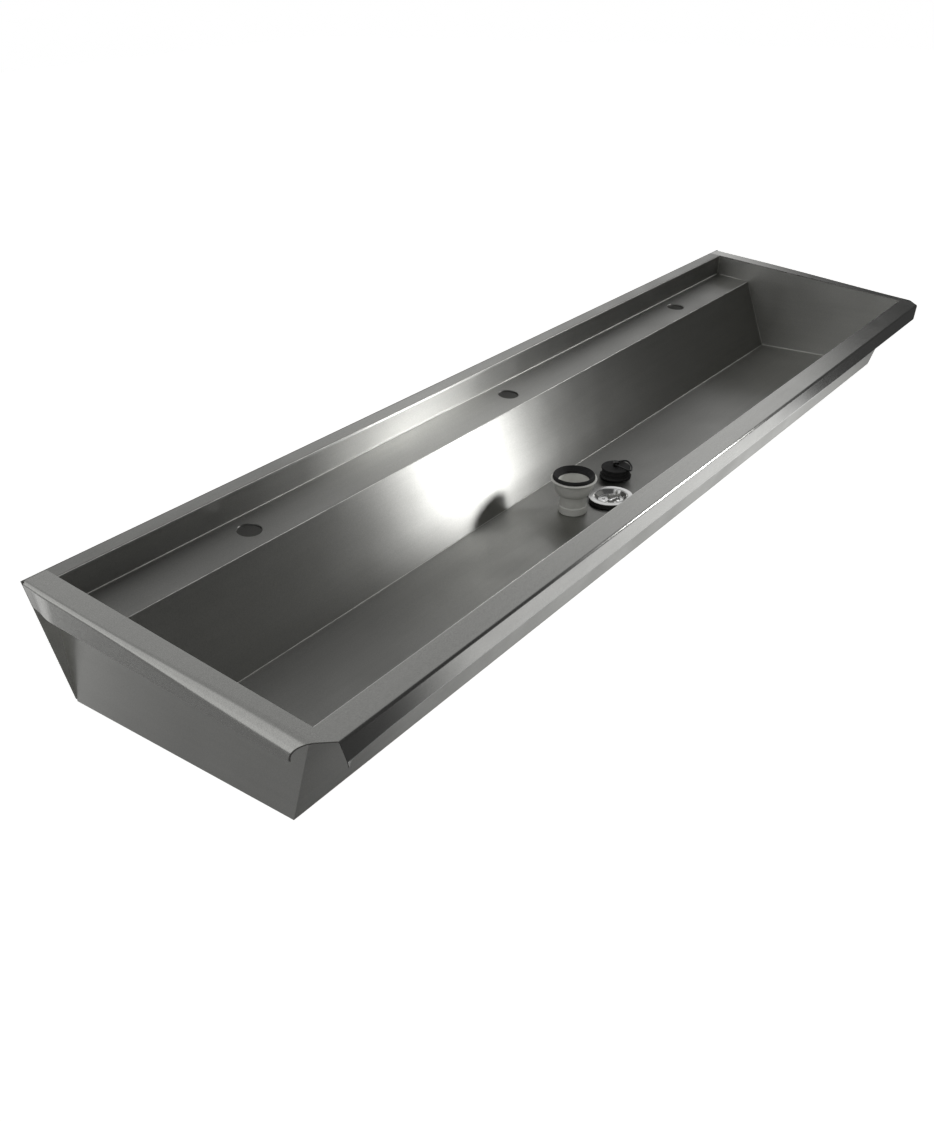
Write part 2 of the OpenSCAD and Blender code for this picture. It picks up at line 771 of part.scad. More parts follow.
module plug_body() {
    under_disc = plug_h - plug_disc_t;
    // Height of the middle of the plug's waist, which has a low rib
    waist_z = (plug_lip_t + under_disc) / 2;
    edge = rib_depth / 2;
    color("#121212")
        on_rear_facet(plug_x, plug_back)
            rotate_extrude()
                polygon([
                    [0, 0], [plug_lip_r - rib_depth, 0], [plug_lip_r, rib_depth],
                    [plug_lip_r, plug_lip_t - rib_depth], [plug_lip_r - rib_depth, plug_lip_t],
                    [plug_waist_r, plug_lip_t], [plug_waist_r, waist_z - rib_depth],
                    [plug_waist_r + rib_depth, waist_z], [plug_waist_r, waist_z + rib_depth],
                    [plug_waist_r, under_disc], [plug_disc_r - edge, under_disc],
                    [plug_disc_r, under_disc + edge], [plug_disc_r, plug_h - edge],
                    [plug_disc_r - edge, plug_h], [0, plug_h]
                ]);
}

// Height of the pull ring's pin above the plug's foot
pin_z = plug_h + pin_lift;

module plug_eye() {
    edge = rib_depth;
    color("#0e0e0e")
        on_rear_facet(plug_x, plug_back)
            rotate([0, 0, pull_turn])
                difference() {
                    translate([0, eye_t / 2, plug_h])
                        rotate([90, 0, 0])
                            linear_extrude(eye_t)
                                polygon([
                                    [-eye_w / 2, 0], [eye_w / 2, 0], [eye_w / 2, eye_h - edge],
                                    [eye_w / 2 - edge, eye_h], [edge - eye_w / 2, eye_h],
                                    [-eye_w / 2, eye_h - edge]
                                ]);
                    translate([0, eye_t / 2 + cut, pin_z])
                        rotate([90, 0, 0]) cylinder(h = eye_t + 2 * cut, r = pin_r + pin_gap);
                }
}

// Corner b of a closed outline, moved in by far from both of its sides
function inset_corner(a, b, c, far) =
    let (n1 = left_of(toward(a, b)), n2 = left_of(toward(b, c)))
    b + (n1 + n2) / (1 + n1 * n2) * far;
// The same corner rounded with the radius r
function rounded(a, b, c, r) =
    let (centre = inset_corner(a, b, c, r), n1 = left_of(toward(a, b)), n2 = left_of(toward(b, c)))
    [for (k = [0:corner_steps]) let (n = n1 + (n2 - n1) * k / corner_steps) centre - n / norm(n) * r];
function before(points, i) = points[(i + len(points) - 1) % len(points)];
function after(points, i) = points[(i + 1) % len(points)];
function inset(points, far) = [
    for (i = [0:len(points) - 1]) inset_corner(before(points, i), points[i], after(points, i), far)
];
function smooth(points, radii) = [
    for (i = [0:len(points) - 1])
        each rounded(before(points, i), points[i], after(points, i), radii[i])
];

// Slope of the pull ring's sides, and its half width at x from the pin
pull_corner_x = pull_l * pull_corner_share;
pull_slope = (pull_w - pull_neck_w) / 2 / pull_corner_x;
function pull_half(x) = pull_neck_w / 2 + pull_slope * x;
// The pull ring's outline before its corners are rounded, from x at its heel
function pull_points(x) = [
    [x, -pull_half(x)], [pull_corner_x, -pull_w / 2], [pull_l, 0],
    [pull_corner_x, pull_w / 2], [x, pull_half(x)]
];
// Distance from the pin at which the inner edge of the ring's sides crosses the disc's edge
pull_inner = pull_neck_w / 2 - pull_bar_w * sqrt(1 + pull_slope * pull_slope);
pull_rest_x = (sqrt(plug_disc_r * plug_disc_r * (1 + pull_slope * pull_slope) - pull_inner * pull_inner)
    - pull_slope * pull_inner) / (1 + pull_slope * pull_slope);

module pull_ring() {
    // Angle at which the ring leans from its pin down to the disc's edge
    lean = asin((pin_lift - pull_t / 2 - rest_gap) / pull_rest_x);
    heel = -pin_r - 2 * pull_bar_w;
    pin_half = pull_neck_w / 2 - pull_bar_w / 2;
    color("#121212")
        on_rear_facet(plug_x, plug_back)
            rotate([0, 0, pull_turn])
                translate([0, 0, pin_z])
                    rotate([0, lean, 0]) {
                        translate([0, pin_half, 0])
                            rotate([90, 0, 0]) cylinder(h = 2 * pin_half, r = pin_r);
                        translate([0, 0, -pull_t / 2])
                            linear_extrude(pull_t)
                                difference() {
                                    polygon(smooth(pull_points(-pull_heel), [
                                        pull_heel_r, pull_corner_r, pull_edge_r, pull_corner_r, pull_heel_r
                                    ]));
                                    polygon(smooth(inset(pull_points(heel), pull_bar_w), [
                                        pull_heel_r, pull_corner_r - pull_bar_w, pull_edge_r - pull_bar_w,
                                        pull_corner_r - pull_bar_w, pull_heel_r
                                    ]));
                                }
                    }
}

front_rim();
front_wall();
bowl_floor();
outlet_pressing();
rear_wall();
tap_ledge();
rear_upstand();
left_end_panel();
right_end_panel();
left_end_rim();
right_end_rim();
back_plate();
tap_hole_plates();
bay_gussets();
earth_tag();
strainer_dish();
strainer_gasket();
centre_screw();
waste_tail();
tail_gasket();
screw_insert();
plug_body();
plug_eye();
pull_ring();
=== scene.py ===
"""Dresses the trough sink: satin steel, its waste kit of plastic and rubber, and a plain studio."""

import math

import bmesh
import bpy
from mathutils import Matrix, Vector


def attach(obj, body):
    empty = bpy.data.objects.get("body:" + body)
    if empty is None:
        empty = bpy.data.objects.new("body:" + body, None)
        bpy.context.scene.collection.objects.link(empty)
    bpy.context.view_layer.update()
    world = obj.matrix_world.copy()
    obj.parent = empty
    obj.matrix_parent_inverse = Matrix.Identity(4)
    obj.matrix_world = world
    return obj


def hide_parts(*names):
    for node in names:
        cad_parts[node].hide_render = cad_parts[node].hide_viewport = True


bl_info = {
    "name": "Trough sink dressing",
    "version": (1, 0, 0),
    "blender": (4, 5, 0),
    "location": "View3D > Sidebar > Trough sink",
    "description": "Builds the finished look of a wall-hung trough sink over its CAD frame",
    "category": "Object",
}

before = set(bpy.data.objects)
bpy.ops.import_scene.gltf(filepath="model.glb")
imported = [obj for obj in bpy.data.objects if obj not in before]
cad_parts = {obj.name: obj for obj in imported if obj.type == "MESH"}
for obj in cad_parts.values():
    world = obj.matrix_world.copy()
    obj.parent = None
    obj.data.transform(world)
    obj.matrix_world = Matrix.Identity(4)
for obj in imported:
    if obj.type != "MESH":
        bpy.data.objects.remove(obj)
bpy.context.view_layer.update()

MM = 0.001

# Places in the CAD frame, in millimetres
RIM_TOP = 90.0
RIM_SPAN = 468.0
RIM_FALL = math.radians(6.0)
FLOOR_EDGE_Z = -98.0
FLOOR_APEX_Z = -102.0
OUTLET_Y = -261.75
REAR_FOOT_Y = -142.0
FRONT_FOOT_Y = -381.5
SEAT_Z = -103.0
REST_GAP = 0.3
HALF_LENGTH = 900.0
REAR_SLOPE = math.atan((FLOOR_EDGE_Z - FLOOR_APEX_Z) / (REAR_FOOT_Y - OUTLET_Y))
# The long folds as (y, z): top and foot of the upstand, front of the ledge, foot of the rear wall
FOLD_LINES = ((-22.0, 86.7), (-20.6, 47.0), (-94.0, 37.85), (-142.2, -97.8))
# How far the middle of a weld bead stands off an end panel
SEAM_OFF = 0.3

# Front rim: its width, fascia, return and the lap on the front wall, in millimetres
FRONT_RIM_W = 38
FASCIA_H = 33
RETURN_W = 12
WALL_LAP = 12
# Length over which the return folds open at the left, and how far the fascia is cut back there
RETURN_OPEN_L = 76
FASCIA_RELIEF = 15

# Strainer: its sheet, cup, flange and screw hole, and the rubber ring under it, in millimetres
STRAINER_T = 1.2
CUP_DEPTH = 8
CUP_FOOT_R = 21
CUP_MOUTH_R = 26
STRAINER_FLANGE_R = 36.8
SCREW_HOLE_R = 3.5
GASKET_H = 7
GASKET_R = 36.2
GASKET_BORE_R = 30.3
GASKET_GROOVE = 1.2
STRAINER_FLANGE_Z = SEAT_Z + 2 * REST_GAP + GASKET_H
CUP_FOOT_Z = STRAINER_FLANGE_Z + STRAINER_T - CUP_DEPTH

# Centre screw: its thread's outside, length, head and the direction in which it points
SCREW_R = 3
SCREW_L = 20
SCREW_HEAD_R = 5
SCREW_TURN = math.radians(335)
# The thread's root, its length and where it starts, and the slot's size and its middle's height
THREAD_CORE_R = 2.5
THREAD_L = 18
THREAD_START = 1.2
SLOT_SIZE = (1.2, 12, 2.2)
SLOT_Z = -2.7

# Waste tail: the four arms of its bridge and the boss that holds the insert
BRIDGE_FOOT_Z = 12
BRIDGE_H = 9
ARM_SIZE = (12.4, 4, BRIDGE_H)
ARM_OUT = 13.8
BOSS_R = 8
INSERT_BORE_R = 5.1

# Plug: its height and top disc, and the pin in its eye
PLUG_H = 18
PLUG_DISC_R = 25
PIN_LIFT = 5
PIN_R = 1.4
PIN_HALF_L = 7.1
# Pull ring, seen from above: its bar, reach from the pin, corners, neck at the pin and direction
PULL_BAR_W = 2.8
PULL_BAR_H = 2.6
PULL_REACH = 29.6
PULL_HALF_W = 26.0
PULL_NECK = 8.5
PULL_HEEL = -2.4
PULL_CORNER_R = 6.6
PULL_FRONT_R = 38
PULL_TURN = math.radians(-52)


def linear(hex_code):
    """Turns an sRGB hex colour into the linear values that the shaders use."""
    channels = [int(hex_code[i:i + 2], 16) / 255 for i in (1, 3, 5)]
    return tuple(c / 12.92 if c <= 0.04045 else ((c + 0.055) / 1.055) ** 2.4 for c in channels)


def colour(name, description, hex_code):
    """A colour that the panel shows, given as sRGB hex."""
    return bpy.props.FloatVectorProperty(
        name=name, description=description, subtype="COLOR", size=3, min=0, max=1,
        default=linear(hex_code))


def length(name, description, millimetres):
    """A length that the panel shows, given in millimetres."""
    return bpy.props.FloatProperty(
        name=name, description=description, default=millimetres * MM, min=0,
        unit="LENGTH", subtype="DISTANCE")


class TroughSizes(bpy.types.PropertyGroup):
    """Sizes of the folded rims and of the weld seams."""
    end_rim_w: length("End rim width", "Width of each end rim", 34)
    flange_rear_h: length("Flange depth at the wall", "Depth of the end rim's side flange at the wall", 38)
    flange_front_h: length("Flange depth at the front", "Depth of the side flange at the front corner", 23)
    roll_rear_r: length("Roll at the wall", "Outside radius of the rolled flange at the wall", 6)
    roll_front_r: length("Roll at the front", "Outside radius of the rolled flange at the front corner", 20)
    sheet_t: length("Sheet thickness", "Thickness of the folded sheet", 1.5)
    bend_r: length("Bend radius", "Inside radius of the folds", 2)
    seam_r: length("Weld seam radius", "Radius of the bead left by a weld", 1.1)
    seam_step: length("Weld ripple", "Distance between the ripples of a weld", 2.2)
    # A painted highlight runs along each long fold as a thin bright bead of this radius
    fold_highlight_r: length("Burnished fold", "Radius of the bright line along a long fold", 0.8)
    fold_highlight_step: length("Highlight stroke", "Distance over which that line swells and thins", 9)


class WasteSizes(bpy.types.PropertyGroup):
    """Sizes of the loose waste pieces."""
    tail_x: length("Tail place", "Distance of the tail from the outlet, along the trough", 70)
    tail_back: length("Tail depth", "Distance of the tail behind the outlet", 30.7)
    tail_h: length("Tail height", "Height of the tail up to its flange", 60)
    plug_x: length("Plug place", "Distance of the plug from the outlet, along the trough", 83.8)
    plug_back: length("Plug depth", "Distance of the plug behind the outlet", 40.4)
    drain_r: length("Drain hole radius", "Radius of a drain hole in the strainer", 2.8)
    thread_pitch: length("Thread pitch", "Pitch of the centre screw's thread", 1.0)
    drain_count: bpy.props.IntProperty(
        name="Drain holes", description="Number of drain holes", default=10, min=3)


class FinishColours(bpy.types.PropertyGroup):
    """Colours of the finishes, as seen under plain light."""
    steel: colour("Satin steel", "Cold-rolled stainless sheet with a satin brushed face", "#b0b0ad")
    # Darker than the sheet: partly the back plate's real mill finish, partly painted shade of the closed bay
    # behind the bowl
    hidden: colour("Mill finish", "Back plate, and the dull side of the sheet in the bay", "#7c7c79")
    # Nearly black: partly the dull torn cut edge, partly painted shade of the gaps at the rims' cut ends
    sheared: colour("Sheared edge", "Cut ends of the folded rims", "#3c3c3a")
    # A painted highlight: the thin pale lines along the long folds stand in for the light that their bends
    # catch
    fold: colour("Burnished fold", "Long folds and ground seams, rubbed bright", "#e8e8e4")
    # The weld beads are real; their brighter colour is partly painted highlight along the seams
    weld: colour("Ground weld", "Weld beads at the end panels", "#c6c6c2")
    polished: colour("Polished steel", "Pressed and polished stainless sheet", "#62625f")
    zinc: colour("Zinc-plated steel", "Bright zinc on the centre screw", "#d2d2cc")
    white: colour("White plastic", "Moulded polypropylene of the waste tail", "#e2e2dc")
    rubber: colour("Black rubber", "Moulded black rubber", "#161616")
    black: colour("Black plastic", "Moulded black plastic of the eye and ring", "#141414")
    brass: colour("Brass", "Turned brass of the threaded insert", "#b79a5c")
    floor: colour("Floor", "Pale floor", "#e6e6e4")


class StageLight(bpy.types.PropertyGroup):
    """Strengths of the studio's lamps and backdrop."""
    key_power: bpy.props.FloatProperty(
        name="Key lamp", description="Power of the softbox at the front right", default=9.7, min=0,
        unit="POWER")
    ambient: bpy.props.FloatProperty(
        name="Ambient", description="Even light on what is matt", default=0.5, min=0)
    backdrop: bpy.props.FloatProperty(
        name="Backdrop", description="Brightness of the wall behind the trough", default=0.9, min=0)
    shade: bpy.props.FloatProperty(
        name="Shade", description="Brightness of the dim side of the studio", default=0.06, min=0)
    floor_seen: bpy.props.FloatProperty(
        name="Floor in the steel", description="Brightness of the near floor as steel shows it",
        default=1.12, min=0)
    floor_lift: bpy.props.FloatProperty(
        name="Floor lift", description="White added to the floor as the camera sees it", default=0.65, min=0)


# Helpers that every piece shares


def add_node(tree, kind, inputs=None, **settings):
    """Adds a node; an input is a value, an output, or a node whose first output is meant."""
    node = tree.nodes.new(kind)
    for key, value in settings.items():
        setattr(node, key, value)
    for key, value in (inputs or {}).items():
        if isinstance(value, bpy.types.Node):
            value = value.outputs[0]
        if isinstance(value, bpy.types.NodeSocket):
            tree.links.new(value, node.inputs[key])
        else:
            node.inputs[key].default_value = value
    return node


def material(name):
    """An empty node material and its tree."""
    made = bpy.data.materials.new(name)
    made.use_nodes = True
    made.node_tree.nodes.clear()
    return made, made.node_tree


def object_mesh(name, points, faces, edges=()):
    """A new object of points in millimetres, with faces or with loose edges alone."""
    mesh = bpy.data.meshes.new(name)
    mesh.from_pydata([Vector(p) * MM for p in points], edges, faces)
    if faces:
        mesh.validate()
        mesh.update()
    made = bpy.data.objects.new(name, mesh)
    bpy.context.scene.collection.objects.link(made)
    return made


def evaluated_mesh(made):
    """Turns what the modifiers make into the object's plain mesh."""
    graph = bpy.context.evaluated_depsgraph_get()
    mesh = bpy.data.meshes.new_from_object(made.evaluated_get(graph), depsgraph=graph)
    made.modifiers.clear()
    made.data = mesh
    return made


def merged(made):
    """The object's mesh for editing, with what meets merged and every face turned outwards."""
    work = bmesh.new()
    work.from_mesh(made.data)
    bmesh.ops.remove_doubles(work, verts=work.verts, dist=1e-7)
    bmesh.ops.recalc_face_normals(work, faces=work.faces)
    return work


def face_outwards(made):
    """Makes a turned mesh a closed solid that a boolean can cut."""
    work = merged(made)
    work.to_mesh(made.data)
    work.free()


def smooth_by_angle(made, degrees):
    """Shades smooth, keeps the edges above this angle sharp and flattens the broad faces."""
    work = merged(made)
    for face in work.faces:
        face.smooth = True
    for edge in work.edges:
        edge.smooth = edge.is_manifold and edge.calc_face_angle(0) < math.radians(degrees)
    work.to_mesh(made.data)
    work.free()
    weigh = made.modifiers.new("flat faces stay flat", "WEIGHTED_NORMAL")
    weigh.keep_sharp = True
    weigh.weight = 90
    return evaluated_mesh(made)


def wear(mesh, name):
    """Gives a whole mesh the finish of that name."""
    mesh.materials.clear()
    mesh.materials.append(finish_named(name))
    for face in mesh.polygons:
        face.material_index = 0


def finish(made, body, slot, name, *nodes):
    """Gives a finished piece its finish and its body, and hides the CAD nodes that it stands for; its slot is
    not used.
    """
    wear(made.data, name)
    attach(made, body)
    if nodes:
        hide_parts(*nodes)
    return made


def settle(made, matrix, degrees, body, slot, name, *nodes):
    """Moves a piece to its place, shades it and finishes it."""
    transformed(made, matrix)
    smooth_by_angle(made, degrees)
    return finish(made, body, slot, name, *nodes)


def shaded_sheared_ends(made):
    """Leaves the cut ends of a lofted sheet as sheared and nearly black, which paints in the shade of the
    gaps there; each end is its only face of many corners.
    """
    made.data.materials.append(finish_named("sheared_edge"))
    for face in made.data.polygons:
        if len(face.vertices) > 8:
            face.material_index = 1


def transformed(made, matrix):
    """Moves the mesh itself, so that the object stays at the origin."""
    made.data.transform(matrix)
    made.data.update()
    return made


def stretched_to(size):
    """Stretches a cube of side 1 to a size in millimetres."""
    return Matrix.Diagonal((*(side * MM for side in size), 1))


def unit(v):
    """The vector, one unit long."""
    return v / v.length


def left_of(d):
    """A plane direction turned a quarter to the left."""
    return Vector((-d.y, d.x))


def eased(t):
    """A share from 0 to 1 that starts and ends gently."""
    return t * t * (3 - 2 * t)


def fillet(path, radius, steps, closed=True):
    """Rounds each corner of a path of (a, b) points by the radius, or less where there is no room."""
    points = [Vector(p[:2]) for p in path]
    radii = [p[2] if len(p) > 2 else radius for p in path]
    count = len(points)
    out = []
    for i, b in enumerate(points):
        if not closed and i in (0, count - 1):
            out.append(b)
            continue
        a, c = points[i - 1], points[(i + 1) % count]
        d1, d2 = unit(b - a), unit(c - b)
        turn = math.acos(max(-1, min(1, d1.dot(d2))))
        if turn < 0.02 or radii[i] <= 0:
            out.append(b)
            continue
        back = min(radii[i] * math.tan(turn / 2), 0.48 * (b - a).length, 0.48 * (c - b).length)
        start, end = b - d1 * back, b + d2 * back
        for k in range(steps + 1):
            t = k / steps
            out.append(start * (1 - t) ** 2 + b * 2 * t * (1 - t) + end * t ** 2)
    return out


def lathe(name, profile, segments=96):
    """Turns a closed outline of (radius, height) points round the Z axis, closed at the poles."""
    points, rings = [], []
    for p in profile:
        if p.x < 1e-6:
            points.append((0, 0, p.y))
            rings.append([len(points) - 1] * segments)
            continue
        rings.append(list(range(len(points), len(points) + segments)))
        for k in range(segments):
            turn = math.tau * k / segments
            points.append((p.x * math.cos(turn), p.x * math.sin(turn), p.y))
    faces = []
    for n, ring in enumerate(rings):
        nxt = rings[(n + 1) % len(rings)]
        for k in range(segments):
            j = (k + 1) % segments
            corners = [ring[k], ring[j], nxt[j], nxt[k]]
            face = [c for i, c in enumerate(corners) if c not in corners[:i]]
            if len(face) > 2:
                faces.append(face)
    return object_mesh(name, points, faces)


def loft(name, rings):
    """A closed solid through rings of as many points each."""
    count = len(rings[0])
    points = [p for ring in rings for p in ring]
    faces = [list(range(count)), [(len(rings) - 1) * count + i for i in range(count)]]
    for k in range(len(rings) - 1):
        for i in range(count):
            j = (i + 1) % count
            faces.append([k * count + i, k * count + j, (k + 1) * count + j, (k + 1) * count + i])
    return object_mesh(name, points, faces)


def on_rear_facet(x, back):
    """Where a loose piece stands on the rear facet of the bowl's floor."""
    z = FLOOR_APEX_Z * MM + back * math.tan(REAR_SLOPE) + REST_GAP * MM
    foot = Vector((x, OUTLET_Y * MM + back, z))
    return Matrix.Translation(foot) @ Matrix.Rotation(REAR_SLOPE, 4, "X")


def run_geometry_nodes(made, tree, values):
    """Runs a tree on an object, with its inputs set by their identifiers, and keeps the plain mesh."""
    modifier = made.modifiers.new(tree.name, "NODES")
    modifier.node_group = tree
    for item in tree.interface.items_tree:
        if item.item_type == "SOCKET" and item.in_out == "INPUT" and item.name in values:
            modifier[item.identifier] = values[item.name]
    return evaluated_mesh(made)


def geometry_tree(name, inputs):
    """A new Geometry Nodes tree with its named inputs, and its input and output nodes."""
    tree = bpy.data.node_groups.new(name, "GeometryNodeTree")
    tree.interface.new_socket("Geometry", in_out="INPUT", socket_type="NodeSocketGeometry")
    for label, kind in inputs:
        tree.interface.new_socket(label, in_out="INPUT", socket_type=kind)
    tree.interface.new_socket("Geometry", in_out="OUTPUT", socket_type="NodeSocketGeometry")
    return tree, add_node(tree, "NodeGroupInput"), add_node(tree, "NodeGroupOutput")


def painted_tree(tree, given, result, geometry):
    """Ends a tree: instances made real, and painted with the material given to it."""
    real = add_node(tree, "GeometryNodeRealizeInstances", {"Geometry": geometry})
    painted = add_node(tree, "GeometryNodeSetMaterial", {
        "Geometry": real, "Material": given.outputs["Material"]})
    tree.links.new(painted.outputs[0], result.inputs["Geometry"])
    return tree


# Finishes

# Nearly all of a noise's values lie between these
NOISE_LOW = 0.3
NOISE_HIGH = 0.7
# Length, width and depth of a scratch, drawn coarser than it is so that it shows, in millimetres
SATIN_GRAIN = (60, 0.9)
MILL_GRAIN = (30, 1.5)
SCRATCH_DEPTH = 0.02
# Length and width of the soft streaks left by brushing
STREAK = (160, 9)
# Width of the soft clouds in the roughness
CLOUD = 70
# Mill grain, drawn coarser than it is, that shows as fine speckle in the highlight
SPECKLE = 1.6
# Width of the marks of handling on plastic and rubber, and depth of their mould's grain
HANDLING = 9
MOULD_GRAIN_DEPTH = 0.05
# Depth of the marks on pressed, plated and turned metal
MARK_DEPTH = 0.03


def brushed_steel(name, base, grain, along, rough, aniso, cloud=0.05):
    """Stainless sheet brushed along one axis: fine scratches that stretch a reflection across them.

    grain is (length, width) of a scratch in millimetres; along is the brushing direction.
    """
    made, tree = material(name)
    place = add_node(tree, "ShaderNodeTexCoord").outputs["Object"]
    stretched = []
    for long_mm, wide_mm in (grain, STREAK):
        scale = [1 / (wide_mm * MM)] * 3
        scale["xyz".index(along)] = 1 / (long_mm * MM)
        stretched.append(add_node(tree, "ShaderNodeMapping", {"Vector": place, "Scale": scale}))
    scratches = add_node(tree, "ShaderNodeTexNoise", {
        "Vector": stretched[0], "Scale": 1.0, "Detail": 2.0, "Roughness": 0.6})
    streaks = add_node(tree, "ShaderNodeTexNoise", {"Vector": stretched[1], "Scale": 1.0, "Detail": 3.0})
    clouds = add_node(tree, "ShaderNodeTexNoise", {
        "Vector": place, "Scale": 1 / (CLOUD * MM), "Detail": 2.0})
    speckle = add_node(tree, "ShaderNodeTexNoise", {
        "Vector": place, "Scale": 1 / (SPECKLE * MM), "Detail": 1.0})
    tint = add_node(tree, "ShaderNodeMapRange", {
        "Value": streaks, "From Min": NOISE_LOW, "From Max": NOISE_HIGH, "To Min": 0.975, "To Max": 1.02})
    shade = add_node(tree, "ShaderNodeMapRange", {
        "Value": speckle, "From Min": 0.25, "From Max": 0.75, "To Min": 0.92, "To Max": 1.08})
    both = add_node(tree, "ShaderNodeMath", {0: tint, 1: shade}, operation="MULTIPLY")
    mixed = add_node(tree, "ShaderNodeVectorMath", {0: tuple(base), "Scale": both}, operation="SCALE")
    cloudy = add_node(tree, "ShaderNodeMapRange", {
        "Value": clouds, "From Min": NOISE_LOW, "From Max": NOISE_HIGH,
        "To Min": rough - cloud / 2, "To Max": rough + cloud / 2})
    bump = add_node(tree, "ShaderNodeBump", {
        "Height": scratches, "Strength": 0.06, "Distance": SCRATCH_DEPTH * MM})
    brushing = add_node(tree, "ShaderNodeCombineXYZ", {along.upper(): 1.0})
    shader = add_node(tree, "ShaderNodeBsdfPrincipled", {
        "Base Color": mixed, "Metallic": 1.0, "Roughness": cloudy, "Anisotropic": aniso,
        "Anisotropic Rotation": 0.25, "Normal": bump, "Tangent": brushing})
    add_node(tree, "ShaderNodeOutputMaterial", {"Surface": shader})
    return made


def moulded(name, base, rough, grain_mm, bump_strength):
    """Moulded plastic or rubber: an even colour with the mould's fine grain and soft handling marks."""
    made, tree = material(name)
    place = add_node(tree, "ShaderNodeTexCoord").outputs["Object"]
    grain = add_node(tree, "ShaderNodeTexNoise", {
        "Vector": place, "Scale": 1 / (grain_mm * MM), "Detail": 2.0})
    marks = add_node(tree, "ShaderNodeTexNoise", {
        "Vector": place, "Scale": 1 / (HANDLING * MM), "Detail": 3.0})
    tone = add_node(tree, "ShaderNodeMapRange", {
        "Value": marks, "From Min": NOISE_LOW, "From Max": NOISE_HIGH, "To Min": 0.94, "To Max": 1.04})
    mixed = add_node(tree, "ShaderNodeVectorMath", {0: tuple(base), "Scale": tone}, operation="SCALE")
    gloss = add_node(tree, "ShaderNodeMapRange", {
        "Value": marks, "From Min": NOISE_LOW, "From Max": NOISE_HIGH,
        "To Min": rough - 0.05, "To Max": rough + 0.06})
    bump = add_node(tree, "ShaderNodeBump", {
        "Height": grain, "Strength": bump_strength, "Distance": MOULD_GRAIN_DEPTH * MM})
    shader = add_node(tree, "ShaderNodeBsdfPrincipled", {
        "Base Color": mixed, "Roughness": gloss, "IOR": 1.5, "Specular IOR Level": 0.5, "Normal": bump})
    add_node(tree, "ShaderNodeOutputMaterial", {"Surface": shader})
    return made


def turned_metal(name, base, rough, mark_mm):
    """Pressed, plated or turned metal: smooth, with faint marks that break up its reflections."""
    made, tree = material(name)
    place = add_node(tree, "ShaderNodeTexCoord").outputs["Object"]
    marks = add_node(tree, "ShaderNodeTexNoise", {
        "Vector": place, "Scale": 1 / (mark_mm * MM), "Detail": 3.0})
    tone = add_node(tree, "ShaderNodeMapRange", {
        "Value": marks, "From Min": NOISE_LOW, "From Max": NOISE_HIGH, "To Min": 0.9, "To Max": 1.05})
    mixed = add_node(tree, "ShaderNodeVectorMath", {0: tuple(base), "Scale": tone}, operation="SCALE")
    gloss = add_node(tree, "ShaderNodeMapRange", {
        "Value": marks, "From Min": NOISE_LOW, "From Max": NOISE_HIGH,
        "To Min": rough * 0.8, "To Max": rough * 1.25})
    bump = add_node(tree, "ShaderNodeBump", {
        "Height": marks, "Strength": 0.05, "Distance": MARK_DEPTH * MM})
    shader = add_node(tree, "ShaderNodeBsdfPrincipled", {
        "Base Color": mixed, "Metallic": 1.0, "Roughness": gloss, "Normal": bump})
    add_node(tree, "ShaderNodeOutputMaterial", {"Surface": shader})
    return made


# How each finish is made, the colour that the panel shows for it, and its own values
FINISHES = {
    # Satin stainless brushed along the trough: a lamp's reflection becomes a streak across it
    "satin_steel_long": (brushed_steel, "steel", SATIN_GRAIN, "x", 0.385, 0.96),
    # The rims are dressed finer after folding, so that they mirror the room more sharply
    "satin_steel_rims": (brushed_steel, "steel", SATIN_GRAIN, "x", 0.24, 0.88),
    # The same sheet on the end panels, where the brushing runs from front to back
    "satin_steel_ends": (brushed_steel, "steel", SATIN_GRAIN, "y", 0.36, 0.6),
    # Cold-rolled sheet left unbrushed on the bowl's front: an even soft grey
    "plain_steel": (brushed_steel, "steel", SATIN_GRAIN, "x", 0.52, 0.2, 0.09),
    # Sheet as it leaves the mill, on the back plate and in the bay behind the bowl: dull, and darker than the
    # sheet as painted shade of the closed bay
    "mill_steel": (brushed_steel, "hidden", MILL_GRAIN, "x", 0.6, 0.0),
    # A sheared edge of the sheet: torn and dull beside the brushed face, and drawn nearly black as painted
    # shade of the gaps at the rims' cut ends
    "sheared_edge": (turned_metal, "sheared", 0.65, 0.8),
    # A painted highlight: each long fold is drawn as a thin pale line where its bend catches the light
    "burnished_steel": (turned_metal, "fold", 0.5, 1.2),
    # Ground weld: rougher than the sheet round it, and brighter, partly as a ground weld is and partly as
    # painted highlight along the seam
    "weld_steel": (turned_metal, "weld", 0.4, 1.2),
    # Pressed stainless with a dulled polish: broad reflections in soft patches
    "polished_steel": (turned_metal, "polished", 0.42, 6),
    # Bright zinc plating: small hard glints on the screw
    "zinc_steel": (turned_metal, "zinc", 0.25, 2),
    # Turned brass: the one warm tone, seen only down the tail
    "brass": (turned_metal, "brass", 0.3, 2),
    # Polypropylene: milky white with a waxy, even sheen
    "white_polypropylene": (moulded, "white", 0.42, 0.5, 0.1),
    # Rubber scatters a broad soft sheen
    "black_rubber": (moulded, "rubber", 0.5, 0.4, 0.25),
    # The same plastic in black: a tighter highlight than the rubber beside it
    "black_polypropylene": (moulded, "black", 0.38, 0.4, 0.1),
}


def finish_named(name):
    """The finish of that name, made at its first use."""
    if name not in bpy.data.materials:
        make, tone, *values = FINISHES[name]
        make(name, getattr(bpy.context.scene.sink_colours, tone), *values)
    return bpy.data.materials[name]


# The studio and the pieces

WHITE = (1, 1, 1, 1)
# Levels that rise from nothing to full, and that fall
RISING = (0.0, 1.0)
FALLING = (1.0, 0.0)
# Half of the floor's width, its height and the width of its soft patches, in millimetres
FLOOR_HALF = 15000
FLOOR_Z = -750
FLOOR_GRAIN = 250
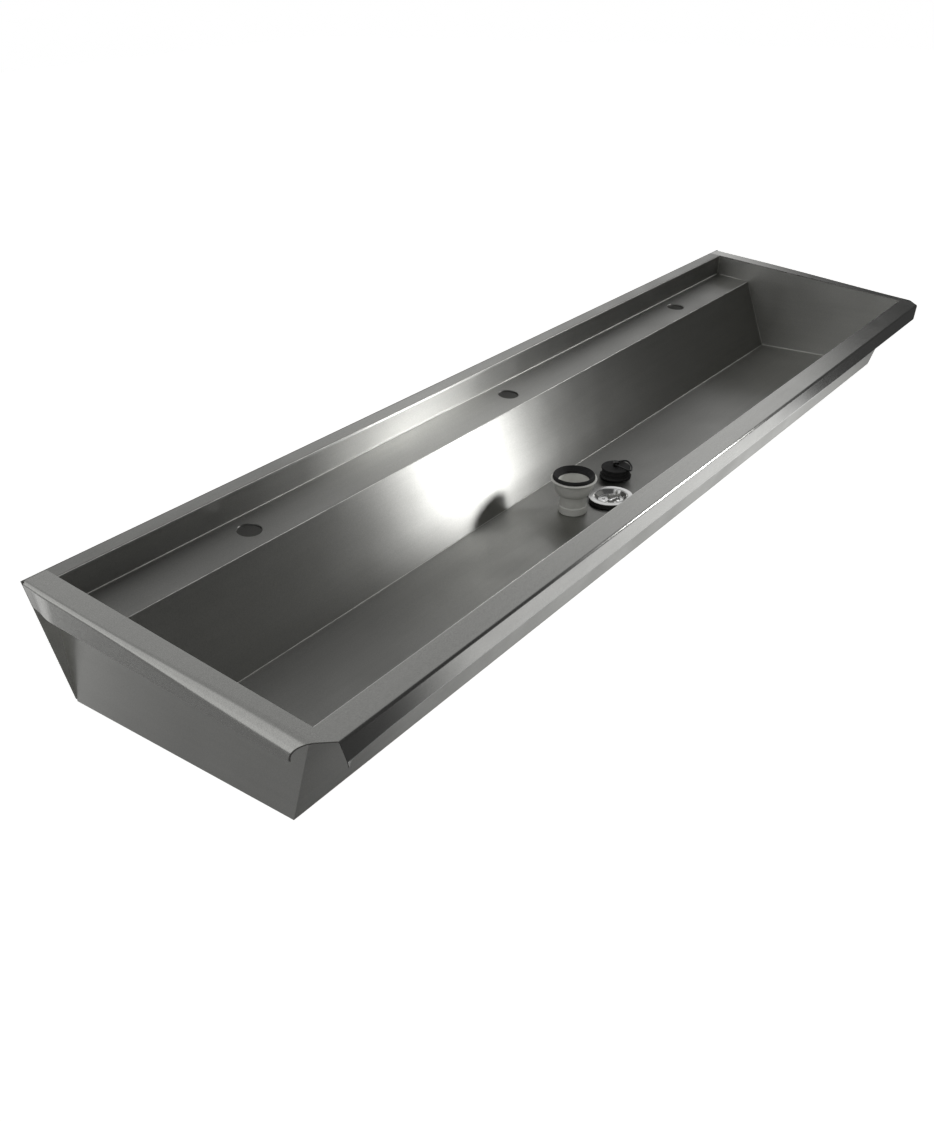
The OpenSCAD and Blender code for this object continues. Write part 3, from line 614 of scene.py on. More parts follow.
# The softbox: side, place and what it points at, in metres
KEY_SIDE = 0.24
KEY_PLACE = (0.97, -1.18, 0.4)
KEY_TARGET = (-0.2, -0.13, -0.02)
# The photograph's camera, solved from it: lens in millimetres, place in metres and its three axes
CAMERA_LENS = 36.01
CAMERA_PLACE = (-1.474319, -1.107685, 0.722965)
CAMERA_RIGHT = (0.601819, -0.797950, -0.033007)
CAMERA_UP = (0.404234, 0.268711, 0.874294)
CAMERA_BACK = (-0.688774, -0.539509, 0.484274)


def light_map(tree, ramps, steps):
    """How bright steel and gloss see each place of the studio.

    A ramp is a value, where it starts and ends, its levels there and its interpolation.
    A step joins two ramps or earlier steps by an operation, and the last one is the result.
    """
    parts = {}
    for name, (value, (start, end), (first, last), kind) in ramps.items():
        parts[name] = add_node(tree, "ShaderNodeMapRange", {
            "Value": value, "From Min": start, "From Max": end, "To Min": first, "To Max": last},
            interpolation_type=kind)
    for name, (one, operation, other) in steps.items():
        parts[name] = add_node(tree, "ShaderNodeMath", {0: parts[one], 1: parts[other]}, operation=operation)
    return list(parts.values())[-1]


class SINK_OT_stage(bpy.types.Operator):
    """Makes the pale floor, the backdrop, the lamp and the camera"""
    bl_idname = "sink.stage"
    bl_label = "Studio"

    def execute(self, context):
        light = context.scene.sink_light
        tones = context.scene.sink_colours
        self.camera(context)
        self.floor(tones, light)
        self.world(context, light)
        key = bpy.data.lights.new("front right softbox", "AREA")
        key.shape = "RECTANGLE"
        key.size = KEY_SIDE
        key.size_y = KEY_SIDE
        key.energy = light.key_power
        lamp = bpy.data.objects.new("front right softbox", key)
        context.scene.collection.objects.link(lamp)
        lamp.location = KEY_PLACE
        aim = Vector(KEY_TARGET) - lamp.location
        lamp.rotation_euler = aim.to_track_quat("-Z", "Y").to_euler()
        return {"FINISHED"}

    def camera(self, context):
        """The photograph's view: a 36 mm lens from the front left, 29 degrees above the trough."""
        data = bpy.data.cameras.new("camera")
        data.sensor_width = 36
        data.lens = CAMERA_LENS
        data.clip_start = 0.05
        data.clip_end = 60
        made = bpy.data.objects.new("camera", data)
        context.scene.collection.objects.link(made)
        turn = Matrix((CAMERA_RIGHT, CAMERA_UP, CAMERA_BACK)).transposed().to_4x4()
        made.matrix_world = Matrix.Translation(CAMERA_PLACE) @ turn
        context.scene.camera = made
        context.scene.view_settings.view_transform = "Standard"

    def floor(self, tones, light):
        """A pale floor that shows the camera its colour, and steel and gloss what lies on it, with a painted
        shadow under the trough.
        """
        corners = ((-1, -1), (1, -1), (1, 1), (-1, 1))
        made = object_mesh("studio floor", [(a * FLOOR_HALF, b * FLOOR_HALF, FLOOR_Z) for a, b in corners],
                           [(0, 1, 2, 3)])
        pale, tree = material("pale studio floor")
        path = add_node(tree, "ShaderNodeLightPath")
        place = add_node(tree, "ShaderNodeTexCoord").outputs["Object"]
        grain = add_node(tree, "ShaderNodeTexNoise", {
            "Vector": place, "Scale": 1 / (FLOOR_GRAIN * MM), "Detail": 2.0})
        matt = add_node(tree, "ShaderNodeMapRange", {"Value": grain, "To Min": 0.86, "To Max": 0.94})
        diffuse = add_node(tree, "ShaderNodeBsdfPrincipled", {
            "Base Color": (*tones.floor, 1), "Roughness": matt, "Specular IOR Level": 0.1})
        lift = add_node(tree, "ShaderNodeMath", {
            0: path.outputs["Is Camera Ray"], 1: light.floor_lift}, operation="MULTIPLY")
        glow = add_node(tree, "ShaderNodeEmission", {"Color": WHITE, "Strength": lift})
        seen = add_node(tree, "ShaderNodeAddShader", {0: diffuse, 1: glow})
        parts = add_node(tree, "ShaderNodeSeparateXYZ", {"Vector": place})
        near = add_node(tree, "ShaderNodeMapRange", {
            "Value": self.floor_in_steel(tree, parts.outputs["X"], parts.outputs["Y"]),
            "To Min": light.shade, "To Max": light.floor_seen}, clamp=False)
        mirrored = add_node(tree, "ShaderNodeEmission", {"Color": WHITE, "Strength": near})
        both = add_node(tree, "ShaderNodeMixShader", {0: self.shiny(tree, path), 1: seen, 2: mirrored})
        add_node(tree, "ShaderNodeOutputMaterial", {"Surface": both})
        made.data.materials.append(pale)

    def shiny(self, tree, path):
        """1 for the rays that steel, gloss and glass send out, 0 for the rest."""
        return add_node(tree, "ShaderNodeMath", {
            0: path.outputs["Is Glossy Ray"], 1: path.outputs["Is Transmission Ray"]}, operation="MAXIMUM")

    def floor_in_steel(self, tree, x, y):
        """What lies on the floor for steel and gloss, with a painted shadow under the trough; places are in
        metres.
        """
        slanted = add_node(tree, "ShaderNodeMath", {0: y, 1: 0.75, 2: x}, operation="MULTIPLY_ADD")
        off_centre = add_node(tree, "ShaderNodeMath", {0: x}, operation="ABSOLUTE")
        return light_map(tree, {
            # A white sheet lies under the trough and out to its front right; the floor is dim elsewhere
            "left": (slanted, (-0.8, -0.55), RISING, "SMOOTHSTEP"),
            "front": (y, (-1.6, -1.0), RISING, "SMOOTHSTEP"),
            "right": (x, (1.8, 2.0), FALLING, "SMOOTHSTEP"),
            "beside": (y, (-0.65, -0.4), (0.0, 0.25), "LINEAR"),
            "brighter": (x, (-0.6, 1.8), (0.75, 1.3), "LINEAR"),
            # A painted shadow: the floor's glow is dimmed under the trough, so that little light comes up
            # behind its walls
            "beyond": (off_centre, (0.95, 1.1), (0.04, 1.0), "LINEAR"),
            "behind": (y, (-0.45, -0.3), FALLING, "LINEAR"),
            # A white card stands at the front left, which the back plate's wing shows
            "card": (x, (-1.25, -1.1), (2.4, 0.0), "LINEAR"),
            "card_front": (y, (-0.55, -0.4), FALLING, "LINEAR"),
        }, {
            "wide": ("left", "MAXIMUM", "beside"),
            "corner": ("wide", "MULTIPLY", "front"),
            "sheet": ("corner", "MULTIPLY", "right"),
            "lit": ("sheet", "MULTIPLY", "brighter"),
            "under": ("beyond", "MAXIMUM", "behind"),
            "sheet_in_painted_shadow": ("lit", "MULTIPLY", "under"),
            "carded": ("card", "MULTIPLY", "card_front"),
            "whole": ("sheet_in_painted_shadow", "MAXIMUM", "carded"),
        })

    def world(self, context, light):
        """White to the camera; to steel, a bright wall behind and a dim room in front and at the right."""
        world = bpy.data.worlds.new("studio")
        context.scene.world = world
        world.use_nodes = True
        tree = world.node_tree
        tree.nodes.clear()
        coords = add_node(tree, "ShaderNodeTexCoord")
        parts = add_node(tree, "ShaderNodeSeparateXYZ", {"Vector": coords.outputs["Generated"]})
        x, y, z = parts.outputs
        open_side = light_map(tree, {
            "behind": (y, (-0.15, 0.15), RISING, "SMOOTHSTEP"),
            "right": (x, (0.885, 0.905), FALLING, "SMOOTHSTEP"),
            # The wall behind darkens towards the ceiling
            "fade": (z, (0.4, 0.62), (1.0, 0.45), "LINEAR"),
            # A glow at the upper left
            "left": (x, (-0.3, 0.1), (0.9, 0.0), "LINEAR"),
            "high": (z, (0.3, 0.5), (0.35, 1.0), "LINEAR"),
        }, {
            "lit": ("behind", "MULTIPLY", "fade"),
            "wall": ("lit", "MULTIPLY", "right"),
            "aloft": ("high", "MULTIPLY", "behind"),
            "glow": ("left", "MULTIPLY", "aloft"),
            "open_side": ("wall", "MAXIMUM", "glow"),
        })
        tone = add_node(tree, "ShaderNodeMath", {
            0: open_side, 1: light.backdrop - light.shade, 2: light.shade}, operation="MULTIPLY_ADD")
        path = add_node(tree, "ShaderNodeLightPath")
        lighting = add_node(tree, "ShaderNodeMix", {
            "Factor": self.shiny(tree, path), 2: light.ambient, 3: tone}, data_type="FLOAT")
        seen = add_node(tree, "ShaderNodeMix", {
            "Factor": path.outputs["Is Camera Ray"], 2: lighting, 3: 1.0}, data_type="FLOAT")
        sky = add_node(tree, "ShaderNodeBackground", {"Color": WHITE, "Strength": seen})
        add_node(tree, "ShaderNodeOutputWorld", {"Surface": sky})


class SINK_OT_sheet_metal(bpy.types.Operator):
    """Gives the pieces that stay as in CAD their finishes: the flat sheets, the insert and the eye"""
    bl_idname = "sink.sheet_metal"
    bl_label = "Sheet metal"

    def execute(self, context):
        kept = {
            "satin_steel_long": ("bowl_floor", "outlet_pressing", "rear_wall", "tap_ledge", "rear_upstand"),
            "satin_steel_ends": ("left_end_panel", "right_end_panel"),
            "plain_steel": ("front_wall", "earth_tag"),
            "mill_steel": ("back_plate", "tap_hole_plates", "bay_gussets"),
            "brass": ("screw_insert",),
            "black_polypropylene": ("plug_eye",),
        }
        for name, nodes in kept.items():
            for node in nodes:
                wear(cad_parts[node].data, name)
        self.shaded_dull_side("rear_wall", Vector((0, 1, 0)))
        self.shaded_dull_side("tap_ledge", Vector((0, 0.7, -0.7)))
        return {"FINISHED"}

    def shaded_dull_side(self, node, away):
        """Leaves the sheet's mill finish on the faces that look into the bay, whose darker colour paints in
        the bay's shade.
        """
        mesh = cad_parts[node].data
        mesh.materials.append(finish_named("mill_steel"))
        for face in mesh.polygons:
            if face.normal.dot(away) > 0.5:
                face.material_index = 1


class SINK_OT_end_rims(bpy.types.Operator):
    """Makes the two rolled end rims, whose side flange opens out towards the front corner"""
    bl_idname = "sink.end_rims"
    bl_label = "End rims"
    sections = 60
    roll_steps = 16
    # Shares of the way to the front where the roll starts to grow, and where the flange is upright
    roll_starts = 0.25
    upright_by = 0.1

    def execute(self, context):
        sizes = context.scene.sink_sizes
        for side, name in ((-1, "left"), (1, "right")):
            made = loft(f"{name}_rolled_rim", self.rings(sizes, side))
            smooth_by_angle(made, 30)
            finish(made, "trough", "satin_steel", "satin_steel_rims", f"{name}_end_rim")
            shaded_sheared_ends(made)
        return {"FINISHED"}

    def rings(self, sizes, side):
        """Sections from the wall to the front: the roll grows, and the flange swings upright."""
        width, sheet, bend = sizes.end_rim_w / MM, sizes.sheet_t / MM, sizes.bend_r / MM
        rear_r, front_r = sizes.roll_rear_r / MM, sizes.roll_front_r / MM
        rear_h, front_h = sizes.flange_rear_h / MM, sizes.flange_front_h / MM
        lean = (width - sheet) / (RIM_TOP - FLOOR_EDGE_Z + sheet)
        rings = []
        for k in range(self.sections + 1):
            t = k / self.sections
            grown = max(0, (t - self.roll_starts) / (1 - self.roll_starts))
            radius = rear_r + (front_r - rear_r) * eased(grown)
            slant = lean * (1 - eased(min(1, t / self.upright_by)))
            ring = []
            for out, rise in self.outline(width, sheet, radius, rear_h + (front_h - rear_h) * t):
                out += rise * slant * min(1, out / front_r)
                rear = (sheet - rise * math.sin(RIM_FALL)) / math.cos(RIM_FALL)
                front = RIM_SPAN - bend - sheet - out
                x = side * (HALF_LENGTH - width + out)
                ring.append(on_rim(x, rear * (1 - t) + front * t, rise))
            rings.append(ring)
        return rings

    def outline(self, width, sheet, radius, drop):
        """One section: the flat rim, the roll and the flange, as (out, rise) points."""
        turns = [math.pi / 2 * i / self.roll_steps for i in range(self.roll_steps + 1)]
        inner = radius - sheet
        points = [(0, 0)]
        points += [(width - radius * (1 - math.sin(a)), -radius * (1 - math.cos(a))) for a in turns]
        points += [(width, -drop), (width - sheet, -drop)]
        points += [(width - sheet - inner * (1 - math.sin(a)), -sheet - inner * (1 - math.cos(a)))
                   for a in reversed(turns)]
        return points + [(0, -sheet)]


def on_rim(x, run, rise):
    """A point of the sloping rim plane: its run forward from the wall and its rise above the plane."""
    return (x, -run * math.cos(RIM_FALL) - rise * math.sin(RIM_FALL),
            RIM_TOP - run * math.sin(RIM_FALL) + rise * math.cos(RIM_FALL))


class SINK_OT_front_rim(bpy.types.Operator):
    """Makes the front rim, whose return opens out towards the fascia's left end"""
    bl_idname = "sink.front_rim"
    bl_label = "Front rim"
    open_steps = 16
    # Just short of flat, so that the fold keeps its arc
    opens_to = 0.99
    arc_steps = 8

    def execute(self, context):
        sizes = context.scene.sink_sizes
        self.sheet, self.bend = sizes.sheet_t / MM, sizes.bend_r / MM
        inner_x = HALF_LENGTH - sizes.end_rim_w / MM
        rings = [[(inner_x, *p) for p in self.outline(0)]]
        for k in range(self.open_steps + 1):
            t = k / self.open_steps
            ring = []
            for y, z in self.outline(t * self.opens_to):
                run = -y * math.cos(RIM_FALL) - (z - RIM_TOP) * math.sin(RIM_FALL)
                rise = (z - RIM_TOP) * math.cos(RIM_FALL) - y * math.sin(RIM_FALL)
                on_fascia = run > RIM_SPAN - FRONT_RIM_W / 2
                cut = FASCIA_RELIEF * max(0, -rise) / (FASCIA_H + RETURN_W) if on_fascia else 0
                ring.append((RETURN_OPEN_L * (1 - t) - inner_x + cut * t, y, z))
            rings.append(ring)
        made = smooth_by_angle(loft("folded_front_rim", rings), 30)
        finish(made, "trough", "satin_steel", "satin_steel_rims", "front_rim")
        shaded_sheared_ends(made)
        return {"FINISHED"}

    def outline(self, opened):
        """The rim's outline where its return is folded open by a share of lying flat."""
        def rim(run, rise):
            return Vector(on_rim(0, run, rise)[1:])
        back = math.sqrt(1 - opened * opened)
        inner = rim(RIM_SPAN - FRONT_RIM_W, 0)
        foot = Vector((FRONT_FOOT_Y, FLOOR_EDGE_Z))
        path = [rim(RIM_SPAN - RETURN_W * back, -FASCIA_H - RETURN_W * opened), rim(RIM_SPAN, -FASCIA_H),
                rim(RIM_SPAN, 0), inner, inner + unit(foot - inner) * WALL_LAP]
        return self.face(path, 0) + self.face(path, self.sheet)[::-1]

    def face(self, path, depth):
        """One face of the folded strip, with an arc at each fold."""
        out = [path[0] - left_of(unit(path[1] - path[0])) * depth]
        for a, b, c in zip(path, path[1:], path[2:]):
            d1, d2 = unit(b - a), unit(c - b)
            n1, n2 = left_of(d1), left_of(d2)
            turn = d1.x * d2.y - d1.y * d2.x
            radius = self.bend if turn > 0 else -(self.bend + self.sheet)
            centre = b + (n1 + n2) / (1 + n1.dot(n2)) * radius
            for k in range(self.arc_steps + 1):
                n = n1 + (n2 - n1) * k / self.arc_steps
                out.append(centre - unit(n) * (radius + depth))
        out.append(path[-1] - left_of(unit(path[-1] - path[-2])) * depth)
        return out


class SINK_OT_weld_seams(bpy.types.Operator):
    """Runs a dressed weld bead along the end seams, partly bright with painted highlight, and a painted
    highlight line along each long fold
    """
    bl_idname = "sink.weld_seams"
    bl_label = "Weld seams"

    def execute(self, context):
        sizes = context.scene.sink_sizes
        reach = HALF_LENGTH - sizes.end_rim_w / MM - SEAM_OFF
        welds = [self.end_seam(side * reach) for side in (-1, 1)]
        folds = [[(-reach, *place), (reach, *place)] for place in FOLD_LINES]
        tree = self.bead_tree()
        self.beads("weld_seams", welds, tree, sizes.seam_r, sizes.seam_step, "weld_steel")
        self.beads("burnished_folds", folds, tree, sizes.fold_highlight_r, sizes.fold_highlight_step, "burnished_steel")
        return {"FINISHED"}

    def end_seam(self, x):
        """Where the bowl meets an end panel, from the front rim round to the rear rim."""
        return [on_rim(x, RIM_SPAN - 41, -3), (x, FRONT_FOOT_Y + 0.5, FLOOR_EDGE_Z + 0.4),
                (x, OUTLET_Y, FLOOR_EDGE_Z + 0.2), (x, REAR_FOOT_Y - 0.5, FLOOR_EDGE_Z + 0.4),
                on_rim(x, 99.5, -42), on_rim(x, 24.8, -40.4), on_rim(x, 24.8, -3)]

    def beads(self, name, runs, tree, radius, step, steel):
        """Sweeps a bead along each run of points."""
        points, edges = [], []
        for run in runs:
            start = len(points)
            points += run
            edges += [(start + k, start + k + 1) for k in range(len(run) - 1)]
        made = object_mesh(name, points, [], edges)
        run_geometry_nodes(made, tree, {"Radius": radius, "Step": step, "Material": finish_named(steel)})
        finish(made, "trough", "satin_steel", steel)

    def bead_tree(self):
        """Sweeps a round bead along a run, swelling and thinning at each step."""
        tree, given, result = geometry_tree("weld_bead", [
            ("Radius", "NodeSocketFloat"), ("Step", "NodeSocketFloat"), ("Material", "NodeSocketMaterial")])
        curve = add_node(tree, "GeometryNodeMeshToCurve", {"Mesh": given.outputs["Geometry"]})
        even = add_node(tree, "GeometryNodeResampleCurve", {
            "Curve": curve, "Length": given.outputs["Step"]}, mode="LENGTH")
        swell = add_node(tree, "FunctionNodeRandomValue", {2: 0.75, 3: 1.1, "Seed": 7}, data_type="FLOAT")
        size = add_node(tree, "ShaderNodeMath", {
            0: given.outputs["Radius"], 1: swell.outputs[1]}, operation="MULTIPLY")
        profile = add_node(tree, "GeometryNodeCurvePrimitiveCircle", {"Resolution": 8, "Radius": 1.0})
        sized = add_node(tree, "GeometryNodeSetCurveRadius", {"Curve": even, "Radius": size})
        bead = add_node(tree, "GeometryNodeCurveToMesh", {
            "Curve": sized, "Profile Curve": profile, "Scale": size, "Fill Caps": True})
        smooth = add_node(tree, "GeometryNodeSetShadeSmooth", {"Geometry": bead})
        return painted_tree(tree, given, result, smooth)


class SINK_OT_strainer(bpy.types.Operator):
    """Makes the pressed strainer with its drain holes, and the rubber ring under it"""
    bl_idname = "sink.strainer"
    bl_label = "Strainer"

    def execute(self, context):
        waste = context.scene.sink_waste
        t, top, foot = STRAINER_T, STRAINER_FLANGE_Z, CUP_FOOT_Z
        dish = lathe("pressed_strainer", fillet([
            (0, foot, 0), (CUP_FOOT_R + t, foot, 1.6), (CUP_MOUTH_R + t, top, 1.0),
            (STRAINER_FLANGE_R, top, 0.5), (STRAINER_FLANGE_R, top + t, 0.5),
            (CUP_MOUTH_R + 2.4 * t, top + t, 1.2), (CUP_MOUTH_R + t, top + t + 0.6, 0.9),
            (CUP_MOUTH_R, top + t, 0.9), (CUP_FOOT_R, foot + t, 2.0), (0, foot + t, 0)], 0.5, 5))
        face_outwards(dish)
        run_geometry_nodes(dish, self.hole_tree(), {
            "Holes": waste.drain_count, "Hole radius": waste.drain_r,
            "Ring radius": (CUP_FOOT_R + SCREW_HOLE_R) / 2 * MM, "Centre radius": SCREW_HOLE_R * MM,
            "Height": foot * MM, "Material": finish_named("polished_steel")})
        settle(dish, Matrix.Translation((0, OUTLET_Y * MM, 0)), 35,
               "strainer", "polished_steel", "polished_steel", "strainer_dish")
        ring = lathe("ribbed_rubber_ring", fillet(
            [(GASKET_BORE_R, 0)] + grooves(GASKET_R, GASKET_H)
            + [(GASKET_BORE_R + 1.2, GASKET_H), (GASKET_BORE_R, GASKET_H - 1.2)], 0.5, 4))
        # The ring has slipped a little to the left and to the front, as in the photograph
        settle(ring, Matrix.Translation(Vector((-1, OUTLET_Y - 0.6, SEAT_Z + REST_GAP)) * MM), 50,
               "strainer", "black_rubber", "black_rubber", "strainer_gasket")
        return {"FINISHED"}

    def hole_tree(self):
        """Cuts a ring of round holes and a centre hole through a dish."""
        tree, given, result = geometry_tree("drain_holes", [
            ("Holes", "NodeSocketInt"), ("Hole radius", "NodeSocketFloat"),
            ("Ring radius", "NodeSocketFloat"), ("Centre radius", "NodeSocketFloat"),
            ("Height", "NodeSocketFloat"), ("Material", "NodeSocketMaterial")])
        circle = add_node(tree, "GeometryNodeMeshCircle", {
            "Vertices": given.outputs["Holes"], "Radius": given.outputs["Ring radius"]})
        punch, centre = (
            add_node(tree, "GeometryNodeMeshCylinder", {
                "Vertices": 28, "Radius": given.outputs[radius], "Depth": 5 * STRAINER_T * MM})
            for radius in ("Hole radius", "Centre radius"))
        punches = add_node(tree, "GeometryNodeInstanceOnPoints", {"Points": circle, "Instance": punch})
        real = add_node(tree, "GeometryNodeRealizeInstances", {"Geometry": punches})
        joined = add_node(tree, "GeometryNodeJoinGeometry")
        for cutter in (real, centre):
            tree.links.new(cutter.outputs[0], joined.inputs["Geometry"])
        up = add_node(tree, "ShaderNodeCombineXYZ", {"Z": given.outputs["Height"]})
        placed = add_node(tree, "GeometryNodeTransform", {"Geometry": joined, "Translation": up})
        cut = add_node(tree, "GeometryNodeMeshBoolean", {
            "Mesh 1": given.outputs["Geometry"], "Mesh 2": placed}, operation="DIFFERENCE", solver="EXACT")
        return painted_tree(tree, given, result, cut)


def grooves(outer, height):
    """Outside of a rubber ring with two grooves between three lips."""
    shares = [(0, 0.5), (0.1, 0), (0.2, 0), (0.33, 1), (0.46, 0), (0.54, 0), (0.67, 1), (0.8, 0),
              (0.92, 0), (1, 0.5)]
    return [(outer - GASKET_GROOVE * deep, height * up) for up, deep in shares]


class SINK_OT_centre_screw(bpy.types.Operator):
    """Makes the loose centre screw: domed head with a slot, and a shank with a rolled thread"""
    bl_idname = "sink.centre_screw"
    bl_label = "Centre screw"

    def execute(self, context):
        waste = context.scene.sink_waste
        # Points are (radius, height, rounding), with the head's underside at 0
        body = lathe("slotted_screw", fillet([
            (0, -3.2, 0), (3.5, -3.2, 2.5), (SCREW_HEAD_R, -1.4, 0.8), (SCREW_HEAD_R, 0, 0.3),
            (2.6, 0, 0.2), (2.6, 19.2, 0.3), (2.0, SCREW_L, 0), (0, SCREW_L, 0)], 0.4, 5), 48)
        face_outwards(body)
        slot = bpy.data.meshes.new("slot")
        work = bmesh.new()
        bmesh.ops.create_cube(
            work, size=1, matrix=Matrix.Translation((0, 0, SLOT_Z * MM)) @ stretched_to(SLOT_SIZE))
        work.to_mesh(slot)
        work.free()
        cutter = bpy.data.objects.new("slot", slot)
        context.scene.collection.objects.link(cutter)
        cut = body.modifiers.new("slot", "BOOLEAN")
        cut.object = cutter
        cut.operation = "DIFFERENCE"
        cut.solver = "EXACT"
        evaluated_mesh(body)
        bpy.data.objects.remove(cutter)
        thread = object_mesh("rolled_thread", [(0, 0, 0)], [])
        run_geometry_nodes(thread, self.thread_tree(), {
            "Pitch": waste.thread_pitch, "Length": THREAD_L * MM, "Core radius": THREAD_CORE_R * MM,
            "Material": finish_named("zinc_steel")})
        transformed(thread, Matrix.Translation((0, 0, THREAD_START * MM)))
        # It lies on the cup's floor, on its head's edge and the end of its shank
        lean = math.asin((SCREW_HEAD_R - SCREW_R) / SCREW_L)
        place = (Matrix.Translation(Vector((0, OUTLET_Y, CUP_FOOT_Z + STRAINER_T + REST_GAP)) * MM)
                 @ Matrix.Rotation(SCREW_TURN, 4, "Z")
                 @ Matrix.Translation(Vector((-2, 0, SCREW_HEAD_R)) * MM)
                 @ Matrix.Rotation(math.pi / 2 + lean, 4, "Y"))
        settle(body, place, 35, "strainer", "zinc_steel", "zinc_steel", "centre_screw")
        settle(thread, place, 35, "strainer", "zinc_steel", "zinc_steel")
        return {"FINISHED"}

    def thread_tree(self):
        """A triangular ridge wound round the shank."""
        tree, given, result = geometry_tree("screw_thread", [
            ("Pitch", "NodeSocketFloat"), ("Length", "NodeSocketFloat"), ("Core radius", "NodeSocketFloat"),
            ("Material", "NodeSocketMaterial")])
        turns = add_node(tree, "ShaderNodeMath", {
            0: given.outputs["Length"], 1: given.outputs["Pitch"]}, operation="DIVIDE")
        helix = add_node(tree, "GeometryNodeCurveSpiral", {
            "Resolution": 20, "Rotations": turns, "Start Radius": given.outputs["Core radius"],
            "End Radius": given.outputs["Core radius"], "Height": given.outputs["Length"]})
        ridge = add_node(tree, "ShaderNodeMath", {0: given.outputs["Pitch"], 1: 0.45}, operation="MULTIPLY")
        profile = add_node(tree, "GeometryNodeCurvePrimitiveCircle", {"Resolution": 3, "Radius": ridge})
        wound = add_node(tree, "GeometryNodeCurveToMesh", {
            "Curve": helix, "Profile Curve": profile, "Fill Caps": True})
        return painted_tree(tree, given, result, wound)


class SINK_OT_waste_tail(bpy.types.Operator):
    """Makes the white waste tail with its bridge, and the black seal in its flange"""
    bl_idname = "sink.waste_tail"
    bl_label = "Waste tail"

    def execute(self, context):
        waste = context.scene.sink_waste
        place = on_rear_facet(-waste.tail_x, waste.tail_back)
        high = waste.tail_h / MM
        quarter = [math.radians(90 * k / 8) for k in range(9)]
        # The cup widens in a quarter arc
        cup = [(23.5 + 8.9 * math.sin(a), 32.2 + (high - 4.6 - 32.2) * (1 - math.cos(a)), 0.3)
               for a in quarter]
        # Points are (radius, height, rounding): up the outside to the flange, then down the bore
        tail = lathe("moulded_tail", fillet([
            (19.4, 0, 0.6), (22.9, 0, 0.4), (23.5, 1.2, 0.4), (23.5, 12, 0.8), (22, 13.2, 0.8), (22, 31, 0.8),
            *cup, (32.4, high - 3.4, 0.5), (36.4, high - 3.4, 0.6), (37.6, high - 2.2, 0.9),
            (37.6, high - 1.2, 0.9), (36.4, high, 0.7), (32, high, 0.3), (25.7, high - 5.3, 0.4),
            (19.4, 31, 2.5)], 0.5, 4), 112)
        settle(tail, place, 40, "tail", "white_plastic", "white_polypropylene", "waste_tail")
        settle(self.bridge(), place, 35, "tail", "white_plastic", "white_polypropylene")
        # The seal's ribs step down inside its mouth; heights are above the flange
        seal = lathe("cupped_seal", fillet([
            (25.4, -5, 0.4), (31.7, 0, 0.2), (34.4, 0, 0.4), (34.4, 1.6, 0.3), (33.7, 2.1, 0.3),
            (34.1, 2.8, 0.3), (33.9, 4.0, 0.4), (32.9, 5.8, 0.5), (31.9, 6.2, 0.4), (30.9, 5.4, 0.3),
            (30.6, 3.6, 0.3), (29.7, 3.2, 0.3), (29.4, 1.6, 0.3), (28.4, 1.2, 0.3), (28.1, -0.4, 0.3),
            (26.9, -1.0, 0.3), (26.3, -3.2, 0.4), (24.9, -4.2, 0.4)], 0.35, 4))
        settle(seal, place @ Matrix.Translation((0, 0, waste.tail_h)), 50,
               "tail", "black_rubber", "black_rubber", "tail_gasket")
        return {"FINISHED"}

    def bridge(self):
        """Four bevelled arms and a round boss with the insert's bore."""
        foot, top = BRIDGE_FOOT_Z, BRIDGE_FOOT_Z + BRIDGE_H
        made = lathe("tail_bridge", fillet(
            [(INSERT_BORE_R, foot), (BOSS_R, foot), (BOSS_R, top), (INSERT_BORE_R, top)], 0.6, 4), 48)
        work = bmesh.new()
        work.from_mesh(made.data)
        for turn in range(4):
            arm = (Matrix.Rotation(math.pi / 2 * turn, 4, "Z")
                   @ Matrix.Translation(Vector((ARM_OUT, 0, (foot + top) / 2)) * MM) @ stretched_to(ARM_SIZE))
            corners = bmesh.ops.create_cube(work, size=1, matrix=arm)["verts"]
            edges = {e for v in corners for e in v.link_edges}
            bmesh.ops.bevel(work, geom=list(edges), offset=0.5 * MM, segments=2, affect="EDGES")
        work.to_mesh(made.data)
        work.free()
        return made


